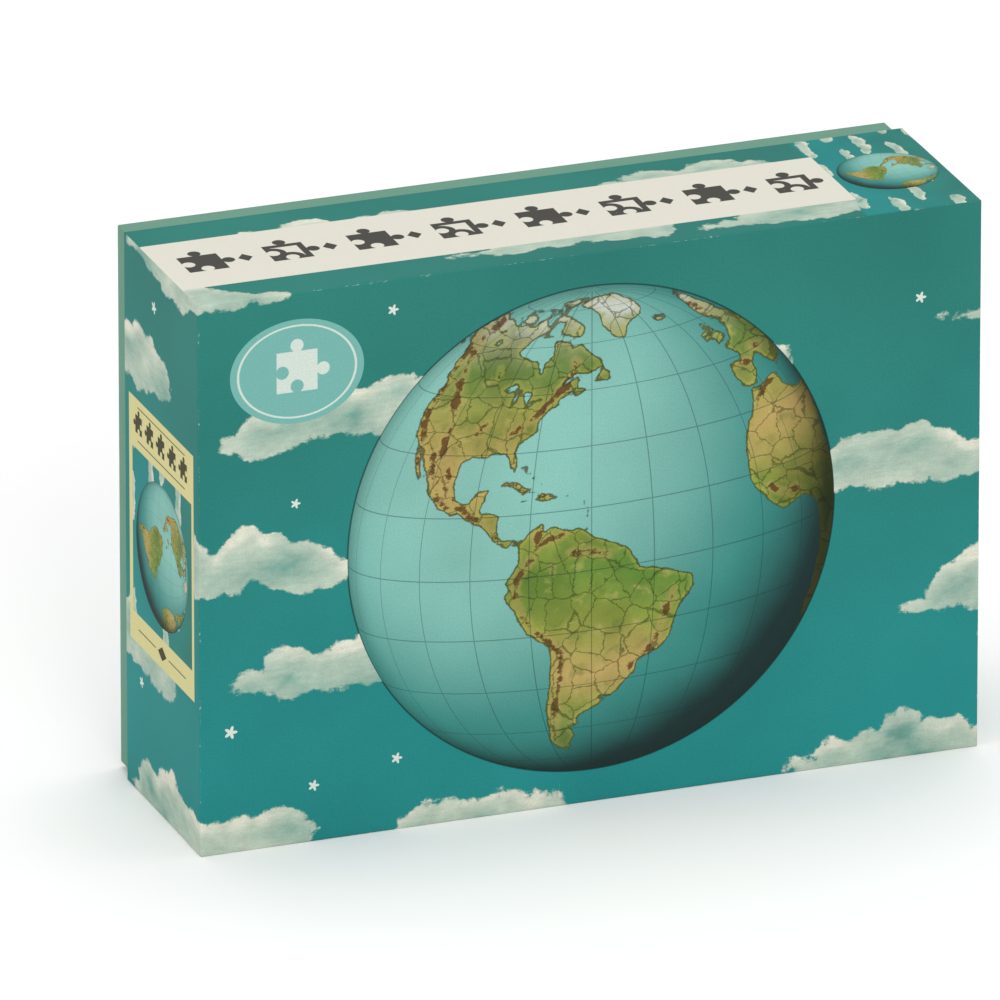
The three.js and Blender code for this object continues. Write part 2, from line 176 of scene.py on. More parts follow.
ISLANDS = [
    [(47.6, -59.3), (51.5, -55.7), (49.5, -53.8), (46.8, -53.3)],
    [(50.8, -128), (50, -125), (48.4, -123.4)],
    [(73.7, -85), (72, -76), (68, -66), (65, -63.5), (62.5, -65.5), (64.5, -77), (69, -77), (71, -88)],
    [(69, -102), (73, -105), (72.5, -117), (69.2, -116), (68.7, -106)],
    [(71.5, -124), (74.3, -122), (73, -117)],
    [(72, -100), (74, -97), (74, -91), (72, -94)],
    [(74.8, -80), (76.6, -84), (76.3, -92), (74.7, -91)],
    [(76.5, -80), (79, -73), (82, -62), (83, -72), (80.5, -90), (77, -88)],
    [(78.3, -94), (80, -98), (81.3, -93), (79, -89)],
    [(74.9, -106), (76.4, -116), (75, -118)],
    [(75, -97), (76.6, -99), (76, -104), (75, -103)],
    [(63.4, -80.5), (66, -85), (63.6, -87)],
    [(63.5, -19), (64, -22.7), (65.6, -24.3), (66.3, -16), (64.5, -14)],
    [(51.6, -9.8), (54.3, -10), (55.2, -7), (52.2, -6.4)],
    [(50.1, -5.5), (53.3, -4.4), (58.5, -5), (57.5, -2), (52.6, 1.7), (50.8, 0)],
    [(21.8, -84.9), (23.1, -82.5), (22.9, -80), (20.3, -74.2), (20, -77.5), (22.3, -82)],
    [(18.4, -74.4), (19.9, -73), (19.5, -69.8), (18.6, -68.4), (17.8, -71.4)],
    [(18.3, -78.4), (18.5, -77), (17.9, -76.3)],
    [(18.5, -67.2), (18.4, -65.7), (18, -66.6)],
    [(26.6, -78.5), (26.4, -77.1), (24.5, -77.6)],
    [(10.8, -61.6), (10.7, -60.9), (10, -61.5)],
    [(-51.4, -60.5), (-51.6, -58), (-52.2, -59.5)],
    [(25.3, -76.9), (25.1, -76), (24.3, -76.3)],
    [(24.2, -75.6), (23.8, -74.6), (22.9, -75.2)],
    [(22.6, -73.6), (22.6, -72.6), (21.7, -73)],
    [(16.6, -61.9), (16.3, -61), (15.6, -61.5)],
    [(15, -61.4), (14.7, -60.6), (14, -61)],
    [(13.5, -61.4), (13.2, -60.7), (12.5, -61.2)],
]
LAKES = [
    [(46.6, -92), (48.8, -88), (46.6, -84.6), (46.6, -87.5)],
    [(41.7, -87.4), (45.9, -86.2), (45.3, -85), (42.3, -86.2)],
    [(43.1, -82), (46, -83.8), (45.8, -80.5), (44.4, -80.6)],
    [(41.5, -83.2), (42.9, -79), (41.9, -81)],
    [(43.3, -79.7), (44, -76.4), (43.3, -77)],
    [(50.5, -96.8), (53.8, -99), (52.5, -97)],
    [(61, -117), (62.5, -112), (61.3, -111)],
    [(65, -122), (66.8, -120), (65.6, -117.5)],
]
RANGES = [
    [(62, -131), (58, -125), (54, -120), (49, -115), (44, -111), (39, -106.5), (34, -106), (29, -105)],
    [(61.5, -142), (57, -131), (50, -123), (44, -122), (37, -119), (33, -116.5)],
    [(68.5, -160), (68.8, -144), (66, -136)],
    [(30, -108.5), (25, -106), (20, -103), (17.5, -99.5), (17, -96)],
    [(27, -101), (23, -99.5), (19, -97.2), (15.5, -92), (14.5, -89), (12.8, -86), (9.5, -83.5)],
    [(31, -115.8), (27, -113.4), (24, -111)],
    [(54, -66), (49, -67), (46, -70), (42.5, -74), (38, -79), (35, -83), (33.5, -86)],
    [(38, -93), (35.5, -95)],
    [(10, -72.5), (4, -74.5), (0, -78), (-5, -78.5), (-10, -76.5), (-15, -72.5), (-20, -68),
     (-27, -68.5), (-33, -70), (-40, -71.5), (-48, -73)],
    [(10.2, -66), (7.5, -72)],
    [(-8, -40), (-14, -42), (-20, -44), (-23, -46), (-27, -50)],
    [(4.5, -65), (5, -61), (3, -56)],
    [(60, 8), (66, 15)],
    [(42.7, 0), (43, -6)],
    [(46, 8), (45, 14)],
    [(31, -8), (34, -3), (35.5, 6)],
    [(11, -11), (9, -9), (8, -1)],
]


def on_globe(points):
    """(latitude, longitude) points as places in the picture, with hidden ones just off the limb."""
    latitude, longitude = np.radians(np.array(points, float).T)
    longitude = longitude - math.radians(VIEW_LONGITUDE)
    x = np.cos(latitude) * np.sin(longitude)
    z = np.sin(latitude) * math.cos(VIEW_LATITUDE)
    z = z - np.cos(latitude) * math.sin(VIEW_LATITUDE) * np.cos(longitude)
    towards = np.sin(latitude) * math.sin(VIEW_LATITUDE)
    towards = towards + np.cos(latitude) * math.cos(VIEW_LATITUDE) * np.cos(longitude)
    reach = np.where(towards < 0, HIDDEN_REACH / np.maximum(np.hypot(x, z), TINY), 1)
    place = np.stack([x * reach, z * reach], axis=1)
    return place * GLOBE_RADIUS + np.array(GLOBE_CENTRE)


def distance_to_line(x, z, line, closed):
    """Distance to a broken line, and for a closed one whether each place is inside it."""
    nearest = np.full(x.shape, FAR)
    inside = np.zeros(x.shape, bool)
    ends = np.roll(line, -1, axis=0) if closed else line[1:]
    for (ax, az), (bx, bz) in zip(line, ends):
        dx, dz = bx - ax, bz - az
        share = np.clip(((x - ax) * dx + (z - az) * dz) / (dx * dx + dz * dz + TINY), 0, 1)
        nearest = np.minimum(nearest, np.hypot(x - ax - share * dx, z - az - share * dz))
        crosses = (az > z) != (bz > z)
        inside ^= crosses & (x < ax + dx * (z - az) / (dz if dz else TINY))
    return nearest, inside


def signed_distance(x, z, outlines):
    """Distance to the nearest outline, positive inside any of them."""
    best = np.full(x.shape, -FAR)
    for outline in outlines:
        nearest, inside = distance_to_line(x, z, np.asarray(outline, float), True)
        best = np.maximum(best, np.where(inside, nearest, -nearest))
    return best


def land_fields(x, z):
    """Signed distance to the coasts, and distance to the mountain ranges."""
    lands = [NORTH_AMERICA, SOUTH_AMERICA, GREENLAND, AFRICA, EUROPE, *ISLANDS]
    coast = signed_distance(x, z, [on_globe(land) for land in lands])
    lakes = signed_distance(x, z, [on_globe(lake) for lake in LAKES])
    ranges = np.full(x.shape, FAR)
    for line in RANGES:
        ranges = np.minimum(ranges, distance_to_line(x, z, on_globe(line), False)[0])
    return np.minimum(coast, -lakes), ranges


SKY_LOW = (44, 146, 144)
SKY_HIGH = (52, 132, 122)
SEA_DEEP = (66, 146, 138)
SEA_LIT = (146, 204, 192)
NIGHT = (38, 58, 58)
CLOUD_LIGHT = (232, 232, 214)
CLOUD_MIDDLE = (186, 208, 190)
CLOUD_SHADE = (118, 170, 156)
CLIMATE_STRAY = 9  # in degrees, how far the climates' borders wander
# Land colours by degrees from the equator: rain forest, grass, desert, farmland, woods, tundra, ice.
CLIMATES = [
    (0, (104, 142, 62)), (13, (142, 154, 70)), (25, (196, 168, 104)), (36, (156, 156, 80)),
    (50, (110, 138, 70)), (62, (164, 168, 126)), (70, (208, 214, 202)),
]
LIGHT_FROM = Vector((-0.45, 0.4, 0.8)).normalized()  # right, up, and towards the viewer
DUSK = (0.3, -0.25)  # the sunlight at which the night begins and is full
DUSK_STRAY = 0.08  # how unevenly it falls, in the same measure
SKY_STRAY = 30.0  # how far the sky's lower and upper colour reach into each other
SEA_LIGHT = (0.2, 1.0)  # the sunlight at which the sea begins to brighten and is brightest
CLOUD_LIT_FROM = (-1.0, 4.5)  # a cloud is lit where a place this far off is clear
BANK_COLUMNS, BANK_ROWS = range(-1, 4), range(-2, 7)
BANK_SPACING = (118.0, 47.0)
BANK_STRAY = 0.22  # how far a cloud bank strays from its place, as a share of the spacing
BANK_LENGTHS = (54.0, 96.0)
PUFF_STEP = 10.0
PUFF_HALF_WIDTHS = (9.0, 14.0)
PUFF_HALF_HEIGHTS = (3.5, 12.0)  # at a bank's ends and in its middle
PUFF_UNEVENNESS = (0.7, 1.15)
PUFF_RISE = 0.6  # a puff's middle above its bank's foot, as a share of its half height
CLOUDLESS = -30.0  # the cover of a place that is far from every puff
CLOUD_FRAY = 5.0  # how far the clouds' borders wander
CLOUD_SEED, FRAY_SEEDS = 21, (5, 9)


def make_cloud_banks():
    """Long, flat-bottomed banks of overlapping puffs, in staggered rows behind the globe."""
    chance = np.random.default_rng(CLOUD_SEED)
    puffs = []
    for row in BANK_ROWS:
        for column in BANK_COLUMNS:
            stray = chance.uniform(-BANK_STRAY, BANK_STRAY, 2)
            middle_x = (column + 0.5 * (row % 2) + stray[0]) * BANK_SPACING[0]
            bottom = (row + stray[1]) * BANK_SPACING[1]
            half_length = chance.uniform(*BANK_LENGTHS) / 2
            for along in np.arange(-half_length, half_length, PUFF_STEP):
                swell = math.sqrt(1 - (along / half_length) ** 2)
                half_height = PUFF_HALF_HEIGHTS[0] * (1 - swell) + PUFF_HALF_HEIGHTS[1] * swell
                half_height *= chance.uniform(*PUFF_UNEVENNESS)
                half_width = chance.uniform(*PUFF_HALF_WIDTHS)
                height = bottom + half_height * PUFF_RISE
                puffs.append((middle_x + along, height, half_width, half_height))
    return puffs


CLOUD_PUFFS = make_cloud_banks()


def cloud_cover(x, z):
    """How far inside the clouds each place lies, in millimetres, from overlapping puffs."""
    fray_x, fray_z = (CLOUD_FRAY * layered_noise(x, z, size=20, seed=seed) for seed in FRAY_SEEDS)
    x, z = x + fray_x, z + fray_z
    cover = np.full(x.shape, CLOUDLESS)
    for puff_x, puff_z, half_width, half_height in CLOUD_PUFFS:
        reach = 1 - np.hypot((x - puff_x) / half_width, (z - puff_z) / half_height)
        cover = np.maximum(cover, reach * half_height)
    return cover


def directions_on_globe(x, z):
    """Each place's direction from the globe's middle: right, up, and towards the viewer."""
    right = (x - GLOBE_CENTRE[0]) / GLOBE_RADIUS
    up = (z - GLOBE_CENTRE[1]) / GLOBE_RADIUS
    return right, up, np.sqrt(np.maximum(1 - right**2 - up**2, 0))


def climate_colours(x, z):
    """The land's colour, from its latitude with wandering borders between the climates."""
    _, up, towards = directions_on_globe(x, z)
    height = up * math.cos(VIEW_LATITUDE) + towards * math.sin(VIEW_LATITUDE)
    degrees = abs(np.degrees(np.arcsin(np.clip(height, -1, 1))))
    degrees = degrees + CLIMATE_STRAY * layered_noise(x, z, size=34, seed=13)
    steps, colours = zip(*CLIMATES)
    return np.stack([np.interp(degrees, steps, channel) for channel in linear(colours).T], -1)


def blended(share, first, second):
    """From the first colour to the second, by a share for each place."""
    return linear(first) * (1 - share)[..., None] + linear(second) * share[..., None]


def uneven(colour, x, z, size, seed, amount):
    """A colour for each place, made lighter and darker in patches."""
    return colour * (1 + amount * layered_noise(x, z, size, seed))[..., None]


def flat(x, z):
    """Places on a sheet as vectors."""
    return np.stack([x, z, x * 0], -1)


def picture_fields(x, z):
    """Everything that the print needs to know at each place of the picture."""
    coast, ranges = land_fields(x, z)
    right, up, towards = directions_on_globe(x, z)
    sunlight = right * LIGHT_FROM.x + up * LIGHT_FROM.y + towards * LIGHT_FROM.z
    night = ease(sunlight + DUSK_STRAY * layered_noise(x, z, size=24, seed=61), *DUSK)
    sea = blended(ease(sunlight, *SEA_LIGHT), SEA_DEEP, SEA_LIT)
    sea = uneven(sea, x, z, size=30, seed=47, amount=0.12)
    sea = sea * (1 - night)[..., None] + linear(NIGHT) * night[..., None]
    sky_height = z + SKY_STRAY * layered_noise(x, z, size=80, seed=3)
    sky = blended(ease(sky_height, 0, PANEL_HEIGHT), SKY_LOW, SKY_HIGH)
    upper_edge = ease(cloud_cover(x + CLOUD_LIT_FROM[0], z + CLOUD_LIT_FROM[1]), 3.0, -2.0)
    billows = layered_noise(x, z * 1.7, size=16, seed=71, octaves=5)
    lit = np.clip(0.4 + 0.45 * upper_edge + 0.7 * billows, 0, 1)
    shade_to_light = blended(lit, CLOUD_SHADE, CLOUD_LIGHT)
    middle = (4 * lit * (1 - lit))[..., None] * 0.5
    return {
        "limb": GLOBE_RADIUS * (1 - np.hypot(right, up)),
        "coast": coast,
        "ranges": ranges,
        "night": night,
        "cover": cloud_cover(x, z),
        "globe_place": flat(right, up),
        "sky_paint": uneven(sky, x, z, size=46, seed=3, amount=0.14),
        "sea_paint": sea,
        "land_paint": uneven(climate_colours(x, z), x, z, size=10, seed=41, amount=0.3),
        "cloud_paint": shade_to_light * (1 - middle) + linear(CLOUD_MIDDLE) * middle,
    }


# ---- Where the picture goes on the box's print ---------------------------------------------
# The sheet's own coordinates: the front panel is x 0 to 264 and z 0 to 187. The left side runs to
# negative x, the right side past 264, the upper side past 187 and the underside below 0.

BAND_START, BAND_END = -9.0, 227.0  # it starts past the edge, so that it runs off the side
BAND_EDGES = (14.5, 54.5)
BAND_MIDDLE = sum(BAND_EDGES) / 2
BAND_PIECES = 8
BAND_STEP = BAND_END / BAND_PIECES
BAND_PIECE_SIZE = 18.5
BAND_OUTLINE = 1.1  # half the line of the pieces that are only outlined
LOZENGE = 3.2
LABEL_EDGES = (5.0, 65.0)
LABEL_HEIGHTS = (51.0, 134.5)
LABEL_MIDDLE = sum(LABEL_EDGES) / 2
LABEL_ROW_HEIGHT = 126.0
LABEL_PIECES = 5
LABEL_STEP = 10.5
LABEL_PIECE_SIZE = 8.5
LABEL_RULES = (120.4, 131.8)
LABEL_FOOT = 56.0
RULE_HALF, RULE_REACH, RULE_GAP = 0.2, 22.0, 6.0  # the foot's rule is open in the middle
WHOLE = -1.0  # where a mark starts, out from the label's middle, when it has no gap there
FOOT_LOZENGE = 2.4
PICTURE_EDGES = (7.0, 62.0)
PICTURE_HEIGHTS = (61.0, 117.5)
PICTURE_SURROUND = 1.5  # how far a small picture runs on under its frame
MEDALLION_CENTRE = (33.0, 160.5)
MEDALLION_HALF = (22.4, 17.5)
MEDALLION_PIECE = 19.0


def around_depths(x, z):
    """How far round the left or right edge, and round the upper or lower edge, a place lies."""
    return np.maximum(-x, x - PANEL_WIDTH), np.maximum(-z, z - PANEL_HEIGHT)


def picture_place(x, z):
    """The picture's own coordinates for a place on the box's print: the small pictures on the
    ends and at the upper side's right show the picture again, turned a quarter."""
    across, over = around_depths(x, z)
    low, high = PICTURE_EDGES[0] - PICTURE_SURROUND, PICTURE_EDGES[1] + PICTURE_SURROUND
    bottom, top = PICTURE_HEIGHTS[0] - PICTURE_SURROUND, PICTURE_HEIGHTS[1] + PICTURE_SURROUND
    in_label = (across > low) & (across < high) & (z > bottom) & (z < top)
    label_scale = (PICTURE_EDGES[1] - PICTURE_EDGES[0]) / PANEL_HEIGHT
    label_x = PANEL_WIDTH / 2 + (sum(PICTURE_HEIGHTS) / 2 - z) / label_scale
    label_z = (PICTURE_EDGES[1] - across) / label_scale
    at_end = (over > 0) & (x > BAND_END - PICTURE_SURROUND)
    end_scale = (PANEL_WIDTH - BAND_END) / PANEL_HEIGHT
    end_x = PANEL_WIDTH / 2 + (LID_DEPTH / 2 - over) / end_scale
    end_z = (x - BAND_END) / end_scale
    picture_x = np.where(in_label, label_x, np.where(at_end, end_x, x))
    picture_z = np.where(in_label, label_z, np.where(at_end, end_z, z))
    return picture_x, picture_z


# ---- Meshes from grids ----------------------------------------------------------------------


def make_object(name, vertices_mm, faces):
    mesh = bpy.data.meshes.new(name)
    mesh.from_pydata((np.asarray(vertices_mm) * MM).tolist(), [], faces)
    obj = bpy.data.objects.new(name, mesh)
    bpy.context.scene.collection.objects.link(obj)
    return obj


def shade_smooth(obj, angle=40):
    """Smooth shading, but for edges that turn by more than an angle in degrees."""
    obj.data.polygons.foreach_set("use_smooth", [True] * len(obj.data.polygons))
    obj.data.set_sharp_from_angle(angle=math.radians(angle))


def store_on_corners(obj, name, values):
    """Stores one value for each face corner: a number, a vector or a colour."""
    values = np.asarray(values, np.float32)
    if values.ndim == 1:
        layer = obj.data.attributes.new(name, "FLOAT", "CORNER")
        layer.data.foreach_set("value", values)
    elif name.endswith("paint"):
        layer = obj.data.attributes.new(name, "FLOAT_COLOR", "CORNER")
        opaque = np.concatenate([values, np.ones((len(values), 1), np.float32)], axis=1)
        layer.data.foreach_set("color", opaque.ravel())
    else:
        layer = obj.data.attributes.new(name, "FLOAT_VECTOR", "CORNER")
        layer.data.foreach_set("vector", values.ravel())


def store_print(obj, fields, corner_places):
    """Stores the print's fields, computed once for each place, on the corners that use them."""
    for name, values in fields.items():
        store_on_corners(obj, name, values[corner_places])


def grid_faces(index):
    """The quads of a grid, from its vertices' numbers in rows and columns."""
    quads = np.stack([index[:-1, :-1], index[:-1, 1:], index[1:, 1:], index[1:, :-1]], -1)
    return quads.reshape(-1, 4)


def two_sided_sheet(first, second):
    """Vertices and faces of a closed sheet: two grids of points of one size, joined all round."""
    rows, columns = first.shape[:2]
    index = np.arange(rows * columns).reshape(rows, columns)
    quads = grid_faces(index)
    ring = [*index[0], *index[1:, -1], *index[-1, -2::-1], *index[-2:0:-1, 0]]
    shift = index.size
    rim = [(ring[i], ring[i - 1], ring[i - 1] + shift, ring[i] + shift) for i in range(len(ring))]
    faces = [*quads.tolist(), *(quads[:, ::-1] + shift).tolist(), *rim]
    return np.concatenate([first.reshape(-1, 3), second.reshape(-1, 3)]), faces


def lines_between(low, high, spacing, edge_steps):
    """Grid lines from low to high, with extra lines close to both ends for the rounded edge."""
    inner_low, inner_high = low + edge_steps[-1], high - edge_steps[-1]
    count = max(1, round((inner_high - inner_low) / spacing))
    middle = np.linspace(inner_low, inner_high, count + 1)
    before = [low + step for step in edge_steps[:-1]]
    after = [high - step for step in reversed(edge_steps[:-1])]
    return np.array([*before, *middle, *after])


EDGE_ROUNDING = 0.5
EDGE_STEPS = (0.0, 0.17, EDGE_ROUNDING)
RIM_ROUNDING = 0.45
RIM_DEGREES = (0, 30, 60, 90)
RIM_END, TURN_IN_ROWS = 1.5, 12
WELD_DIGITS = 4  # vertices of two patches that agree to this many decimals are one


def wrap_profile(depth, spacing):
    """The wrap's way from the panel's edge, as (inset, depth, runs on the outside) rows: down the
    wall, round the rim, up the inside, and back against the board to the panel."""
    wall = WRAP + BOARD_AND_STAY + WRAP
    rows = [(0.0, y, True) for y in lines_between(0, depth, spacing, EDGE_STEPS)[1:-2]]
    bend = []
    for degrees in RIM_DEGREES:
        angle = math.radians(degrees)
        bend.append((RIM_ROUNDING * (1 - math.cos(angle)), RIM_ROUNDING * (1 - math.sin(angle))))
    rows += [(inset, depth - drop, False) for inset, drop in bend]
    rows += [(wall - inset, depth - drop, False) for inset, drop in reversed(bend)]
    for y in np.linspace(depth - RIM_END, depth - TURN_IN, TURN_IN_ROWS):
        rows.append((wall, y, False))
    rows.append((wall - WRAP, depth - TURN_IN, False))
    rows.append((wall - WRAP, depth - WRAP, False))
    rows.append((WRAP, depth - WRAP, False))
    rows.append((WRAP, WRAP, False))
    return rows


def rounded(points, half_width, bottom, top):
    """Points on a box's outside, moved onto its rounded edges. The box's panel is at depth 0."""
    low = np.array([-half_width + EDGE_ROUNDING, EDGE_ROUNDING, bottom + EDGE_ROUNDING])
    high = np.array([half_width - EDGE_ROUNDING, FAR, top - EDGE_ROUNDING])
    inner = np.clip(points, low, high)
    away = points - inner
    length = np.maximum(np.linalg.norm(away, axis=-1, keepdims=True), TINY)
    return inner + away / length * EDGE_ROUNDING


def wrap_patches(half_width, bottom, top, depth, spacing):
    """The wrap's five patches as (points, sheet places) grids, with depth counted from the panel."""
    xs = lines_between(-half_width, half_width, spacing, EDGE_STEPS)
    zs = lines_between(bottom, top, spacing, EDGE_STEPS)
    middle, half_height = (bottom + top) / 2, (top - bottom) / 2
    rows = [(0.0, 0.0, True), *wrap_profile(depth, spacing)]

    def side(lines, is_upright, sign):
        """One wall, from the panel's edge round the rim to the end of its turn-in."""
        reach, half_length = (half_width, half_height) if is_upright else (half_height, half_width)
        centre = middle if is_upright else 0
        edge = reach * 2 if sign > 0 else 0
        points, places, run = [], [], 0.0
        last_inset, last_y, _ = rows[0]
        for inset, y, is_outside in rows:
            run += math.hypot(inset - last_inset, y - last_y)
            last_inset, last_y = inset, y
            wall = np.full(len(lines), sign * (reach - inset))
            level = np.full(len(lines), y)
            along = centre + (lines - centre) * (half_length - inset) / half_length
            past = np.full(len(lines), edge + sign * run)
            ring = (wall, level, along) if is_upright else (along, level, middle + wall)
            place = (past, lines - lines[0]) if is_upright else (lines - lines[0], past)
            ring = np.stack(ring, -1)
            points.append(rounded(ring, half_width, bottom, top) if is_outside else ring)
            places.append(np.stack(place, -1))
        flip = is_upright == (sign > 0)
        return np.array(points), np.array(places), flip

    x_grid, z_grid = np.meshgrid(xs, zs)
    panel = np.stack([x_grid, np.zeros(x_grid.shape), z_grid], -1)
    panel_places = np.stack([x_grid + half_width, z_grid - bottom], -1)
    panel = rounded(panel, half_width, bottom, top)
    return [
        (panel, panel_places, False),
        side(zs, True, -1),
        side(zs, True, 1),
        side(xs, False, -1),
        side(xs, False, 1),
    ]


def make_wrap(name, tray_low, tray_high, spacing, panel_in_front):
    """A tray's wrap as one closed sheet. Returns it with each corner's place on the sheet."""
    half_width, bottom, top = tray_high[0], tray_low[2], tray_high[2]
    depth = tray_high[1] - tray_low[1]
    points, places, faces, start = [], [], [], 0
    last_rows = []
    for patch, (grid, sheet, flip) in enumerate(
        wrap_patches(half_width, bottom, top, depth, spacing)
    ):
        rows, columns = grid.shape[:2]
        index = start + np.arange(rows * columns).reshape(rows, columns)
        quads = grid_faces(index)
        faces.append(quads[:, ::-1] if flip else quads)
        points.append(grid.reshape(-1, 3))
        places.append(sheet.reshape(-1, 2))
        start += rows * columns
        if patch:
            last_rows.append(index[-1])
    points, places, faces = np.concatenate(points), np.concatenate(places), np.concatenate(faces)
    _, first, shared = np.unique(
        np.round(points, WELD_DIGITS), axis=0, return_index=True, return_inverse=True
    )
    shared = shared.reshape(-1)
    left, right, lower, upper = last_rows
    cap = [*lower[:-1], *right[:-1], *upper[:0:-1], *left[:0:-1]]
    panel_y = tray_low[1] if panel_in_front else tray_high[1]
    inward = 1 if panel_in_front else -1
    vertices = points[first] * np.array([1, inward, 1]) + np.array([0, panel_y, 0])
    corner_places = [face if panel_in_front else face[::-1] for face in faces]
    cap = cap[::-1] if panel_in_front else cap
    corner_places.append(np.array(cap))
    obj = make_object(name, vertices, [shared[face].tolist() for face in corner_places])
    shade_smooth(obj, angle=50)
    return obj, places, np.concatenate(corner_places)


# ---- Materials as plain arithmetic on nodes -------------------------------------------------


class Wire:
    """A node's output that takes part in arithmetic."""

    def __init__(self, shader, socket):
        self.shader, self.socket = shader, socket

    def __add__(self, other):
        return self.shader.math("ADD", self, other)

    def __sub__(self, other):
        return self.shader.math("SUBTRACT", self, other)

    def __rsub__(self, other):
        return self.shader.math("SUBTRACT", other, self)

    def __mul__(self, other):
        return self.shader.math("MULTIPLY", self, other)

    def __truediv__(self, other):
        return self.shader.math("DIVIDE", self, other)

    def __abs__(self):
        return self.shader.math("ABSOLUTE", self)

    __radd__ = __add__
    __rmul__ = __mul__


class Shader:
    """One procedural material, built around a Principled BSDF."""

    def __init__(self, name, **finish):
        self.material = bpy.data.materials.new(name)
        self.material.use_nodes = True
        self.nodes = self.material.node_tree.nodes
        self.links = self.material.node_tree.links
        self.bsdf = self.nodes["Principled BSDF"]
        for socket, value in finish.items():
            self.bsdf.inputs[socket.replace("_", " ")].default_value = value

    def set(self, socket, value):
        if isinstance(value, Wire):
            self.links.new(value.socket, socket)
        elif value is not None:
            socket.default_value = value

    def math(self, operation, *values):
        node = self.nodes.new("ShaderNodeMath")
        node.operation = operation
        for socket, value in zip(node.inputs, values):
            self.set(socket, value)
        return Wire(self, node.outputs[0])

    def smaller(self, *values):
        return self.fold("MINIMUM", values)

    def larger(self, *values):
        return self.fold("MAXIMUM", values)

    def fold(self, operation, values):
        total = values[0]
        for value in values[1:]:
            total = self.math(operation, total, value)
        return total

    def ease(self, value, start, end):
        node = self.nodes.new("ShaderNodeMapRange")
        node.interpolation_type = "SMOOTHSTEP"
        for name, number in (("Value", value), ("From Min", start), ("From Max", end)):
            self.set(node.inputs[name], number)
        return Wire(self, node.outputs[0])

    def length(self, x, z):
        return self.math("SQRT", x * x + z * z)

    def repeated(self, value, step, offset=0.0):
        """How far past the nearest of places one step apart, the first at `offset` steps."""
        return (self.math("FRACT", value / step + (0.5 - offset)) - 0.5) * step

    def attribute(self, name, output="Fac"):
        node = self.nodes.new("ShaderNodeAttribute")
        node.attribute_name = name
        return Wire(self, node.outputs[output])

    def parts(self, vector):
        node = self.nodes.new("ShaderNodeSeparateXYZ")
        self.set(node.inputs[0], vector)
        return [Wire(self, output) for output in node.outputs]

    def vector(self, x, y, z=0.0):
        node = self.nodes.new("ShaderNodeCombineXYZ")
        for socket, value in zip(node.inputs, (x, y, z)):
            self.set(socket, value)
        return Wire(self, node.outputs[0])

    def noise(self, vector, size, detail=3.0, roughness=0.5):
        """Noise from about -0.5 to 0.5 with patches `size` across, in the vector's units."""
        node = self.nodes.new("ShaderNodeTexNoise")
        self.set(node.inputs["Vector"], vector)
        node.inputs["Scale"].default_value = 1 / size
        node.inputs["Detail"].default_value = detail
        node.inputs["Roughness"].default_value = roughness
        return Wire(self, node.outputs["Fac"]) - 0.5

    def cells(self, vector, size):
        """Distance to the nearest border between cells about `size` across."""
        node = self.nodes.new("ShaderNodeTexVoronoi")
        node.feature = "DISTANCE_TO_EDGE"
        self.set(node.inputs["Vector"], vector)
        node.inputs["Scale"].default_value = 1 / size
        return Wire(self, node.outputs["Distance"]) * size

    def mix(self, share, first, second, blend="MIX"):
        node = self.nodes.new("ShaderNodeMix")
        node.data_type = "RGBA"
        node.blend_type = blend
        self.set(node.inputs[0], share)
        self.set(node.inputs[6], first)
        self.set(node.inputs[7], second)
        return Wire(self, node.outputs[2])

    def inked(self, share, colour, ink):
        """A colour with a share of an ink over it, given as 0-255 screen values."""
        return self.mix(share, colour, rgba(ink))

    def mottled(self, noise, dark, light):
        """Between two inks, by a noise."""
        return self.mix(self.ease(noise, -0.3, 0.3), rgba(dark), rgba(light))

    def brighten(self, colour, amount):
        """A colour times a number."""
        return self.mix(1.0, colour, self.vector(amount, amount, amount), "MULTIPLY")

    def bump(self, height, distance, strength=1.0):
        node = self.nodes.new("ShaderNodeBump")
        self.set(node.inputs["Height"], height)
        node.inputs["Distance"].default_value = distance
        node.inputs["Strength"].default_value = strength
        self.set(self.bsdf.inputs["Normal"], Wire(self, node.outputs[0]))

    def finish(self, colour, roughness=None):
        self.set(self.bsdf.inputs["Base Color"], colour)
        self.set(self.bsdf.inputs["Roughness"], roughness)
        return self.material


def weave(s, x, z, pitch):
    """A linen weave: threads both ways that go over and under each other, 0 to 1."""
    turn = 2 * math.pi / pitch
    across = s.math("SINE", x * turn)
    along = s.math("SINE", z * turn)
    return (across * along) * 0.25 + (abs(across) + abs(along)) * 0.25


INK_BLUR, FINE_INK_BLUR = 0.12, 0.1  # half the width over which a drawn edge fades
GRATICULE = 15.0  # degrees between lines
GRATICULE_WIDTH = 0.1  # half of a line's width, in degrees
GRATICULE_BLUR = 1.6  # how far a line fades, as a multiple of that
POLE_FADE = (89.0, 87.0)  # no lines above the first latitude, and full ones below the second


def graticule(s):
    """1 on the globe's lines of latitude and longitude."""
    u, v, _ = s.parts(s.attribute("globe_place", "Vector"))
    towards = s.math("SQRT", s.larger(1.0 - u * u - v * v, 0.0))
    c, k = math.cos(VIEW_LATITUDE), math.sin(VIEW_LATITUDE)
    height = s.smaller(s.larger(v * c + towards * k, -1.0), 1.0)
    depth = towards * c - v * k
    latitude = s.math("ARCSINE", height) * (180 / math.pi)
    longitude = s.math("ARCTAN2", u, depth) * (180 / math.pi) + VIEW_LONGITUDE
    narrowing = s.math("SQRT", s.larger(1.0 - height * height, 0.0))
    lines = []
    for degrees, width in ((latitude, 1.0), (longitude, narrowing)):
        off = abs(s.math("FRACT", degrees / GRATICULE + 0.5) - 0.5) * GRATICULE * width
        lines.append(s.ease(off, GRATICULE_BLUR * GRATICULE_WIDTH, GRATICULE_WIDTH))
    below_pole = s.ease(abs(latitude), *POLE_FADE)
    return s.larger(*lines) * below_pole


